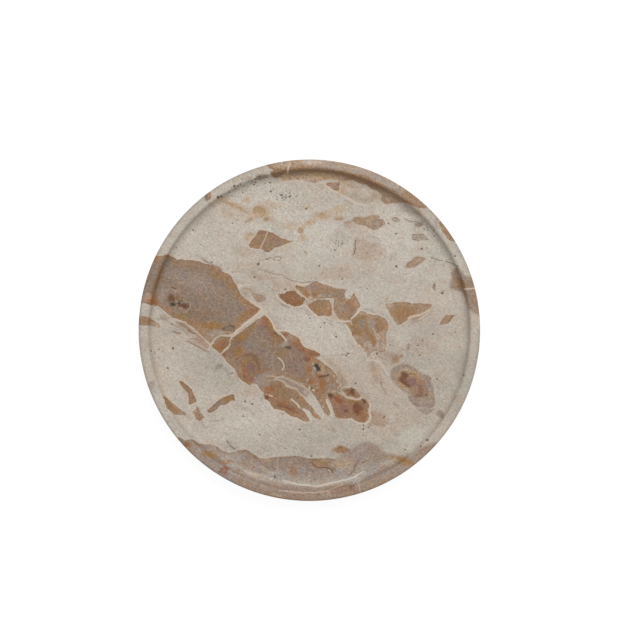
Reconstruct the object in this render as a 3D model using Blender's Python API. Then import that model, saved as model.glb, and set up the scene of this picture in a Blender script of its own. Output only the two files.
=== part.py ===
"""Round marble serving tray, modelled in metres with +Z up.

The tray is one block of stone, turned hollow on its upper side: a flat serving floor, a cove that
sweeps up from it, and a rim with eased edges. Four round feet keep the stone off the table. Each foot
is a disc of wool felt and the disc of foam tape that bonds it to the underside.

The origin is on the turning axis, on the surface that the tray stands on.
"""

import math

import bmesh
import bpy

MM = 0.001

# Stone, overall
TRAY_DIAMETER = 300 * MM
STONE_HEIGHT = 20 * MM
RECESS_DEPTH = 8 * MM

# Stone, edges of the turned section
RIM_WIDTH = 8.4 * MM
COVE_RADIUS = 7 * MM
WALL_SLOPE = math.radians(68)
RIM_INNER_ROUND = 2.5 * MM
RIM_OUTER_ROUND = 1.2 * MM
UNDERSIDE_ROUND = 1.5 * MM

# Feet
FOOT_COUNT = 4
FOOT_INSET = 45 * MM
FELT_DIAMETER = 24 * MM
FELT_THICKNESS = 2.5 * MM
FELT_EDGE_ROUND = 0.5 * MM
TAPE_DIAMETER = 22 * MM
TAPE_THICKNESS = 0.8 * MM

# Clearance between two pieces that are bonded together, and the distance within which points are one
BOND_GAP = 0.3 * MM
MERGE_DISTANCE = 0.01 * MM

# Facets round a turned piece, and along one of its rounded edges
STONE_FACETS = 96
FOOT_FACETS = 32
COVE_STEPS = 8
EDGE_STEPS = 3
SHARP_ANGLE = math.radians(40)

# Heights of the stack, from the table up, and radii of the stone
FELT_TOP = FELT_THICKNESS
TAPE_BOTTOM = FELT_TOP + BOND_GAP
TAPE_TOP = TAPE_BOTTOM + TAPE_THICKNESS
STONE_BOTTOM = TAPE_TOP + BOND_GAP
STONE_TOP = STONE_BOTTOM + STONE_HEIGHT
FLOOR_TOP = STONE_TOP - RECESS_DEPTH
TRAY_RADIUS = TRAY_DIAMETER / 2
FOOT_CIRCLE_RADIUS = TRAY_RADIUS - FOOT_INSET

FOOT_NAMES = ("back_right", "back_left", "front_left", "front_right")
FIRST_FOOT_ANGLE = math.pi / FOOT_COUNT


def clear_scene():
    """Removes every object that the file opened with."""
    for obj in list(bpy.data.objects):
        bpy.data.objects.remove(obj)


def arc(centre, radius, start, end, steps):
    """Points of an arc about centre, from the start angle to the end angle in radians."""
    angles = [start + (end - start) * i / steps for i in range(steps + 1)]
    return [
        (centre[0] + radius * math.cos(angle), centre[1] + radius * math.sin(angle))
        for angle in angles
    ]


def turned_mesh(name, profile, facets):
    """A closed mesh: the profile's (radius, height) points turned about Z, its two ends on the axis."""
    bm = bmesh.new()
    points = [bm.verts.new((radius, 0, height)) for radius, height in profile]
    edges = [bm.edges.new(pair) for pair in zip(points, points[1:])]
    bmesh.ops.spin(
        bm,
        geom=points + edges,
        cent=(0, 0, 0),
        axis=(0, 0, 1),
        angle=2 * math.pi,
        steps=facets,
        use_merge=True,
    )
    # The profile's two ends spin on the spot, so their copies are merged into one point each.
    bmesh.ops.remove_doubles(bm, verts=bm.verts, dist=MERGE_DISTANCE)
    bmesh.ops.recalc_face_normals(bm, faces=bm.faces)
    mesh = bpy.data.meshes.new(name)
    bm.to_mesh(mesh)
    bm.free()
    mesh.shade_smooth()
    mesh.set_sharp_from_angle(angle=SHARP_ANGLE)
    return mesh


def material(name, colour, roughness):
    """A Principled BSDF of one colour; colour is linear red, green and blue."""
    made = bpy.data.materials.new(name)
    made.use_nodes = True
    shader = made.node_tree.nodes["Principled BSDF"]
    shader.inputs["Base Color"].default_value = (*colour, 1)
    shader.inputs["Roughness"].default_value = roughness
    shader.inputs["Metallic"].default_value = 0
    return made


def place(name, mesh, finish, location=(0, 0, 0), parent=None):
    """Links one named object to the scene, carrying the mesh and its material."""
    if not mesh.materials:
        mesh.materials.append(finish)
    obj = bpy.data.objects.new(name, mesh)
    bpy.context.scene.collection.objects.link(obj)
    obj.location = location
    obj.parent = parent
    return obj


def stone_profile():
    """Half of the stone's section, from the middle of the serving floor round to the underside."""
    # The wall is a straight slope. It meets the rim at RIM_WIDTH, where the inner round is cut, and
    # the cove is as far in as the slope needs to come down to it.
    edge_x = TRAY_RADIUS - RIM_WIDTH + RIM_INNER_ROUND * math.tan(WALL_SLOPE / 2)
    corner_x = TRAY_RADIUS - RIM_WIDTH - RECESS_DEPTH / math.tan(WALL_SLOPE)
    cove_x = corner_x - COVE_RADIUS * math.tan(WALL_SLOPE / 2)
    upright = math.pi / 2
    cove = arc(
        (cove_x, FLOOR_TOP + COVE_RADIUS), COVE_RADIUS, -upright, WALL_SLOPE - upright, COVE_STEPS
    )
    inner_edge = arc(
        (edge_x, STONE_TOP - RIM_INNER_ROUND),
        RIM_INNER_ROUND,
        upright + WALL_SLOPE,
        upright,
        EDGE_STEPS,
    )
    outer_edge = arc(
        (TRAY_RADIUS - RIM_OUTER_ROUND, STONE_TOP - RIM_OUTER_ROUND),
        RIM_OUTER_ROUND,
        upright,
        0,
        EDGE_STEPS,
    )
    lower_edge = arc(
        (TRAY_RADIUS - UNDERSIDE_ROUND, STONE_BOTTOM + UNDERSIDE_ROUND),
        UNDERSIDE_ROUND,
        0,
        -upright,
        EDGE_STEPS,
    )
    section = cove + inner_edge + outer_edge + lower_edge
    return [(0, FLOOR_TOP)] + section + [(0, STONE_BOTTOM)]


def felt_profile():
    """Half of a felt disc's section, with its lower edge eased where it meets the table."""
    radius = FELT_DIAMETER / 2
    lower_edge = arc(
        (radius - FELT_EDGE_ROUND, FELT_EDGE_ROUND), FELT_EDGE_ROUND, 0, -math.pi / 2, EDGE_STEPS
    )
    return [(0, FELT_THICKNESS), (radius, FELT_THICKNESS)] + lower_edge + [(0, 0)]


def tape_profile():
    """Half of a tape disc's section."""
    radius = TAPE_DIAMETER / 2
    return [(0, TAPE_THICKNESS), (radius, TAPE_THICKNESS), (radius, 0), (0, 0)]


def build_stone():
    """The turned block of marble."""
    marble = material("honed_marble", (0.46, 0.41, 0.35), 0.5)
    mesh = turned_mesh("stone_tray_body", stone_profile(), STONE_FACETS)
    return place("stone_tray_body", mesh, marble)


def build_feet():
    """The felt discs and the tape discs over them, each pair on its own empty under the stone."""
    felt = material("wool_felt", (0.16, 0.12, 0.09), 0.95)
    tape = material("foam_tape", (0.62, 0.6, 0.55), 0.8)
    felt_mesh = turned_mesh("felt_disc", felt_profile(), FOOT_FACETS)
    tape_mesh = turned_mesh("tape_disc", tape_profile(), FOOT_FACETS)
    for index, name in enumerate(FOOT_NAMES):
        angle = FIRST_FOOT_ANGLE + index * 2 * math.pi / FOOT_COUNT
        foot = bpy.data.objects.new("foot_" + name, None)
        bpy.context.scene.collection.objects.link(foot)
        foot.location = (
            FOOT_CIRCLE_RADIUS * math.cos(angle),
            FOOT_CIRCLE_RADIUS * math.sin(angle),
            0,
        )
        place("felt_pad_" + name, felt_mesh, felt, parent=foot)
        place("tape_disc_" + name, tape_mesh, tape, (0, 0, TAPE_BOTTOM), foot)


clear_scene()
build_stone()
build_feet()
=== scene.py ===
"""A round serving tray turned from one block of breccia marble, on four felt feet.

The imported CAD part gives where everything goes. This script dresses it: the stone as a dense turned
mesh that carries the breccia's figure in its vertices, the feet as felt that has real fibres, and the
tape discs between the two. The figure is drawn in millimetres on a disc of DRAWING_RADIUS, seen from
above, and is carried down through the block, so that the wall and the underside show it too.
"""

from __future__ import annotations

import logging
import math
from collections.abc import Mapping, Sequence
from dataclasses import dataclass
from enum import Enum

import bpy
import numpy as np
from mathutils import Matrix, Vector

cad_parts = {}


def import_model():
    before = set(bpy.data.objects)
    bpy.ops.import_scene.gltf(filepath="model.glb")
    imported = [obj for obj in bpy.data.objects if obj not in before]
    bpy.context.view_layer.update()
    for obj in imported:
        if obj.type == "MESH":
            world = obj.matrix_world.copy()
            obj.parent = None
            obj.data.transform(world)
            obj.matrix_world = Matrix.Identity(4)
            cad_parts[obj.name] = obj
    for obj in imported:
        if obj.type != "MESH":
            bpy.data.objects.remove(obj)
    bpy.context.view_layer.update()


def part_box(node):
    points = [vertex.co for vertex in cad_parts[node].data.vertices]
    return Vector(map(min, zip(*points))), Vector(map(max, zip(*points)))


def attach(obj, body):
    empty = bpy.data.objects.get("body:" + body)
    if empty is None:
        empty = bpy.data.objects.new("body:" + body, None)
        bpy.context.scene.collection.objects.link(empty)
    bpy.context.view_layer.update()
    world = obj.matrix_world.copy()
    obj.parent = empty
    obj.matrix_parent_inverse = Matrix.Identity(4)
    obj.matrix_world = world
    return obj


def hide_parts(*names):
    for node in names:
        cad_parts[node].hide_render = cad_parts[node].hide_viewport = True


LOG = logging.getLogger("marble_tray")

MM = 0.001
BODY = "root"
IMAGE_WIDTH = 640
DRAWING_RADIUS = 150.0

# Lengths in millimetres. A sharp clast fades over SHARP to either side of its outline. A point less
# than TOP_SKIN below the shown face lies on it, and one more than BLOCK_FROM below is inside the block.
SHARP = 0.35
TOP_SKIN = 0.5
BLOCK_FROM = 1.0

# The honed face reflects this much linear white over a tone, but a dark tone keeps its least share.
SHEEN_VEIL = 0.036
LEAST_SHARE = 0.2

# How far the mottle moves a mark's rim: a share of a patch's softness or of a stain's size, and
# millimetres of a streak.
PATCH_RAGGED = 0.5
STAIN_RAGGED = 0.16
STREAK_RAGGED = 0.2

# How far a mark's box reaches past what is drawn: millimetres, but times the size for a stain.
PATCH_MARGIN = 4.0
STAIN_MARGIN = 1.6
STREAK_MARGIN = 3.0

# A streak fades between these two shares of its width, and its strength varies by the third.
STREAK_FULL = 0.35
STREAK_GONE = 1.1
STREAK_VARIES = 0.2

# Where nothing is near: millimetres outside a clast, half widths off a vein, radii off a pore.
OUTSIDE = -30.0
OFF_VEIN = 9.0
OFF_PORE = 4.0

NOISE_VALUES = 4096
NOISE_FACTORS = (73856093, 19349663, 83492791)
TINY = 1e-12

Floats = np.ndarray
Rows = np.ndarray
Course = tuple[tuple[float, float], ...]
Socket = bpy.types.NodeSocket


class Tone(Enum):
    """The stone's colours as the lit tray shows them, as sRGB hex values."""

    BEIGE = "#BAB0A4"
    PALE = "#C5BCB1"
    PINK = "#B3A192"
    SAGE = "#BDBAAE"
    GREY = "#A29A8F"
    SLATE = "#857C73"
    CREAM = "#C8B8A6"
    ROSE_CREAM = "#BFA693"
    STRAW = "#B69D7F"
    TAN = "#A08771"
    OCHRE = "#96703F"
    OLIVE = "#8A7350"
    BROWN = "#977A60"
    CHESTNUT = "#92725A"
    UMBER = "#84664C"
    RUST = "#925F3E"
    RED_RUST = "#8A5641"
    DEEP_RUST = "#714F40"
    MAUVE = "#8D7B6C"
    PALE_MAUVE = "#9A8A7E"
    PLUM = "#856760"
    DARK = "#55442A"
    HOLLOW = "#3E3D1D"


def linear(colour: str) -> tuple[float, float, float, float]:
    """Turns a colour to the linear values that a shader works in.

    Args:
        colour: An sRGB hex value, such as "#BAB0A4".

    Returns:
        Linear red, green, blue and an alpha of 1.
    """
    channels = (int(colour[at : at + 2], 16) / 255 for at in (1, 3, 5))
    red, green, blue = (c / 12.92 if c <= 0.04045 else ((c + 0.055) / 1.055) ** 2.4 for c in channels)
    return red, green, blue, 1.0


def bare(tone: Tone) -> tuple[float, float, float, float]:
    """Takes off the veil of white that the honed face's sheen lays over a tone.

    Args:
        tone: A colour as the lit tray shows it.

    Returns:
        Linear red, green and blue of the stone itself and an alpha of 1.
    """
    red, green, blue = (max(c - SHEEN_VEIL, LEAST_SHARE * c) for c in linear(tone.value)[:3])
    return red, green, blue, 1.0


def tone_rgb(tone: Tone) -> Floats:
    """Returns a tone's linear red, green and blue, free of the sheen, as an array."""
    return np.array(bare(tone)[:3])


def path(*numbers: float) -> Course:
    """Pairs up x, y, x, y and so on into the points of a line or an outline."""
    return tuple(zip(numbers[::2], numbers[1::2]))


def arc(
    centre: tuple[float, float], radii: tuple[float, float], start: float, end: float, steps: int
) -> Course:
    """Returns the points of an elliptic arc after its first, with its angles in degrees."""
    angles = (math.radians(start + (end - start) * step / steps) for step in range(1, steps + 1))
    return tuple((centre[0] + radii[0] * math.cos(a), centre[1] + radii[1] * math.sin(a)) for a in angles)


def smoothstep(low: float, high: float, value: Floats) -> Floats:
    """Returns 0 below low, 1 above high and a smooth climb between."""
    t = np.clip((value - low) / (high - low), 0, 1)
    return t * t * (3 - 2 * t)


def value_noise(points: Floats, size: float, seed: int) -> Floats:
    """Gives smooth noise from -1 to 1 at each point.

    Args:
        points: Points in millimetres, one per row.
        size: Millimetres from one random value to the next.
        seed: Chooses the random values.

    Returns:
        One value for each point.
    """
    table = np.random.default_rng(seed).uniform(-1, 1, NOISE_VALUES)
    cell = np.floor(points / size).astype(np.int64)
    t = smoothstep(0, 1, points / size - cell)
    total = np.zeros(len(points))
    for corner in range(8):
        step = np.array([corner & 1, corner >> 1 & 1, corner >> 2 & 1])
        key = np.bitwise_xor.reduce((cell + step) * NOISE_FACTORS, axis=1) & (NOISE_VALUES - 1)
        total += np.prod(np.where(step, t, 1 - t), axis=1) * table[key]
    return total


@dataclass(frozen=True)
class Layer:
    """One layer of noise: its weight, its size in millimetres and its seed."""

    weight: float
    size: float
    seed: int


Layers = tuple[Layer, ...]


def layered(points: Floats, layers: Layers) -> Floats:
    """Returns the weighted sum of layers of noise at each point."""
    return sum(layer.weight * value_noise(points, layer.size, layer.seed) for layer in layers)


def rounded(course: Course, steps: int = 4) -> Course:
    """Carries a smooth curve through a line's points.

    Args:
        course: The points of an open line.
        steps: Pieces that each stretch is cut into.

    Returns:
        The points of the curve, its ends kept.
    """
    p = np.array(course, float)
    p = np.vstack([2 * p[0] - p[1], p, 2 * p[-1] - p[-2]])
    a, b, c, d = (p[at : len(p) - 3 + at, None, :] for at in range(4))
    t = (np.arange(steps) / steps)[None, :, None]
    bend = (c - a) * t + (2 * a - 5 * b + 4 * c - d) * t**2 + (3 * b - a - 3 * c + d) * t**3
    curve = (b + 0.5 * bend).reshape(-1, 2)
    return tuple(map(tuple, np.vstack([curve, p[-2]])))


@dataclass(frozen=True)
class Nearness:
    """How points lie to a line: the distance, the side as a signed distance, and whether inside."""

    gap: Floats
    side: Floats
    inside: Rows

    @property
    def inward(self) -> Floats:
        """The distance in from an outline, below 0 for the points outside it."""
        return np.where(self.inside, self.gap, -self.gap)


def nearness(x: Floats, y: Floats, course: Course, closed: bool) -> Nearness:
    """Measures points against a line or an outline.

    Args:
        x: Across, in millimetres.
        y: Up, in millimetres.
        course: The line's points.
        closed: Whether the last point joins the first.

    Returns:
        The distance to the line, its signed form across the nearest stretch, and the points inside.
    """
    ends = course[1:] + course[:1] if closed else course[1:]
    best = np.full(x.shape, np.inf)
    side = np.zeros(x.shape)
    inside = np.zeros(x.shape, bool)
    for (ax, ay), (bx, by) in zip(course, ends):
        ex, ey = bx - ax, by - ay
        wx, wy = x - ax, y - ay
        t = np.clip((wx * ex + wy * ey) / (ex * ex + ey * ey + TINY), 0, 1)
        gap = (wx - t * ex) ** 2 + (wy - t * ey) ** 2
        nearer = gap < best
        best = np.where(nearer, gap, best)
        side = np.where(nearer, (ex * wy - ey * wx) / (math.hypot(ex, ey) + TINY), side)
        if closed and ay != by:
            inside ^= ((ay > y) != (by > y)) & (x < ax + wy / (by - ay) * ex)
    return Nearness(np.sqrt(best), side, inside)


def close_rows(x: Floats, y: Floats, course: Course, margin: float) -> Rows:
    """Returns the rows of the points that lie in a line's box, widened by the margin."""
    low, high = np.min(course, axis=0) - margin, np.max(course, axis=0) + margin
    return np.flatnonzero((x > low[0]) & (x < high[0]) & (y > low[1]) & (y < high[1]))


@dataclass(frozen=True)
class Oval:
    """The frame of an oval: its centre, half length, half width and turn in radians."""

    x: float
    y: float
    length: float
    width: float
    turn: float

    def within(self, x: Floats, y: Floats) -> tuple[Floats, Floats]:
        """Returns how far along and across the oval points lie, where 1 is its edge."""
        dx, dy = x - self.x, y - self.y
        along = (dx * math.cos(self.turn) + dy * math.sin(self.turn)) / self.length
        across = (dy * math.cos(self.turn) - dx * math.sin(self.turn)) / self.width
        return along, across


@dataclass(frozen=True)
class Clast:
    """One broken piece of older rock in the breccia, with a weathered border round its core.

    It fades into the ground over its blend, in millimetres to either side of the outline.
    """

    name: str
    core: Tone
    border: Tone
    border_width: float
    outline: Course
    blend: float = SHARP


@dataclass(frozen=True)
class Mark:
    """One thing drawn in one tone over a field of colours. Lengths are in drawing millimetres."""

    tone: Tone
    strength: float

    def paint(self, field: Floats, x: Floats, y: Floats, mottle: Floats) -> None:
        """Lays the mark over a field of colours.

        Args:
            field: The colours, changed in place.
            x: Across, in drawing millimetres.
            y: Up, in drawing millimetres.
            mottle: Noise that makes the mark's rim ragged.
        """
        rows = self._rows(x, y)
        share = (self.strength * self._share(x[rows], y[rows], mottle[rows]))[:, None]
        field[rows] += (tone_rgb(self.tone) - field[rows]) * share

    def _rows(self, x: Floats, y: Floats) -> Rows:
        """Returns the rows of the points that the mark can reach."""
        raise NotImplementedError

    def _share(self, x: Floats, y: Floats, mottle: Floats) -> Floats:
        """Returns the mark's share, at full strength, in the colour of each of those points."""
        raise NotImplementedError


@dataclass(frozen=True)
class Patch(Mark):
    """An area inside a drawn outline, which fades over its softness."""

    softness: float
    outline: Course

    def _rows(self, x: Floats, y: Floats) -> Rows:
        """Returns the rows in the outline's box."""
        return close_rows(x, y, self.outline, PATCH_MARGIN + self.softness)

    def _share(self, x: Floats, y: Floats, mottle: Floats) -> Floats:
        """Returns 1 well inside the outline, and less towards 0 outside it."""
        inward = nearness(x, y, self.outline, True).inward + PATCH_RAGGED * self.softness * mottle
        return smoothstep(-self.softness, self.softness, inward)


@dataclass(frozen=True)
class Stain(Mark):
    """An oval: its centre, half length and half width, turn in degrees and softness."""

    x: float
    y: float
    length: float
    width: float
    turn: float = 0.0
    softness: float = 0.5

    def _rows(self, x: Floats, y: Floats) -> Rows:
        """Returns the rows in a square round the oval."""
        return close_rows(x, y, ((self.x, self.y),), STAIN_MARGIN * max(self.length, self.width))

    def _share(self, x: Floats, y: Floats, mottle: Floats) -> Floats:
        """Returns 1 in the oval's middle, and less towards 0 past its edge."""
        oval = Oval(self.x, self.y, self.length, self.width, math.radians(self.turn))
        away = np.hypot(*oval.within(x, y)) + STAIN_RAGGED * mottle
        return 1 - smoothstep(1 - self.softness, 1 + self.softness, away)


@dataclass(frozen=True)
class Streak(Mark):
    """A soft line."""

    width: float
    course: Course

    def _rows(self, x: Floats, y: Floats) -> Rows:
        """Returns the rows in the line's box."""
        return close_rows(x, y, rounded(self.course), STREAK_MARGIN + 2 * self.width)

    def _share(self, x: Floats, y: Floats, mottle: Floats) -> Floats:
        """Returns about 1 in the line's middle, and less towards 0 past its width."""
        gap = nearness(x, y, rounded(self.course), False).gap + STREAK_RAGGED * mottle
        share = 1 - smoothstep(STREAK_FULL * self.width, STREAK_GONE * self.width, gap)
        return share * (1 - STREAK_VARIES + STREAK_VARIES * mottle)


@dataclass(frozen=True)
class Vein:
    """A crack healed with pale calcite, which has crisp edges."""

    tone: Tone
    width: float
    course: Course


@dataclass(frozen=True)
class Pore:
    """An open pore in the face: its centre, radius, and depth as a share of the deepest."""

    x: float
    y: float
    radius: float
    depth: float


@dataclass(frozen=True)
class Swarm:
    """An oval crowded with small pores: its centre, half length and width, turn in degrees and count."""

    x: float
    y: float
    length: float
    width: float
    turn: float
    count: int


def stains(tone: Tone, *ovals: tuple[float, ...]) -> tuple[Stain, ...]:
    """Returns stains of one tone. Each is its strength, x, y, length, width, turn and softness."""
    return tuple(Stain(tone, *oval) for oval in ovals)


def patches(tone: Tone, *areas: tuple[float, ...]) -> tuple[Patch, ...]:
    """Returns patches of one tone. Each is its strength and softness, then its outline."""
    return tuple(Patch(tone, area[0], area[1], path(*area[2:])) for area in areas)


def streaks(tone: Tone, *lines: tuple[float, ...]) -> tuple[Streak, ...]:
    """Returns streaks of one tone. Each is its strength and width, then its course."""
    return tuple(Streak(tone, line[0], line[1], path(*line[2:])) for line in lines)


def veins(tone: Tone, *lines: tuple[float, ...]) -> tuple[Vein, ...]:
    """Returns veins of one tone. Each is its width, then its course."""
    return tuple(Vein(tone, line[0], path(*line[1:])) for line in lines)


def pores(*pits: tuple[float, float, float, float]) -> tuple[Pore, ...]:
    """Returns pores. Each is its x, y, radius and depth."""
    return tuple(Pore(*pit) for pit in pits)


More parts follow.
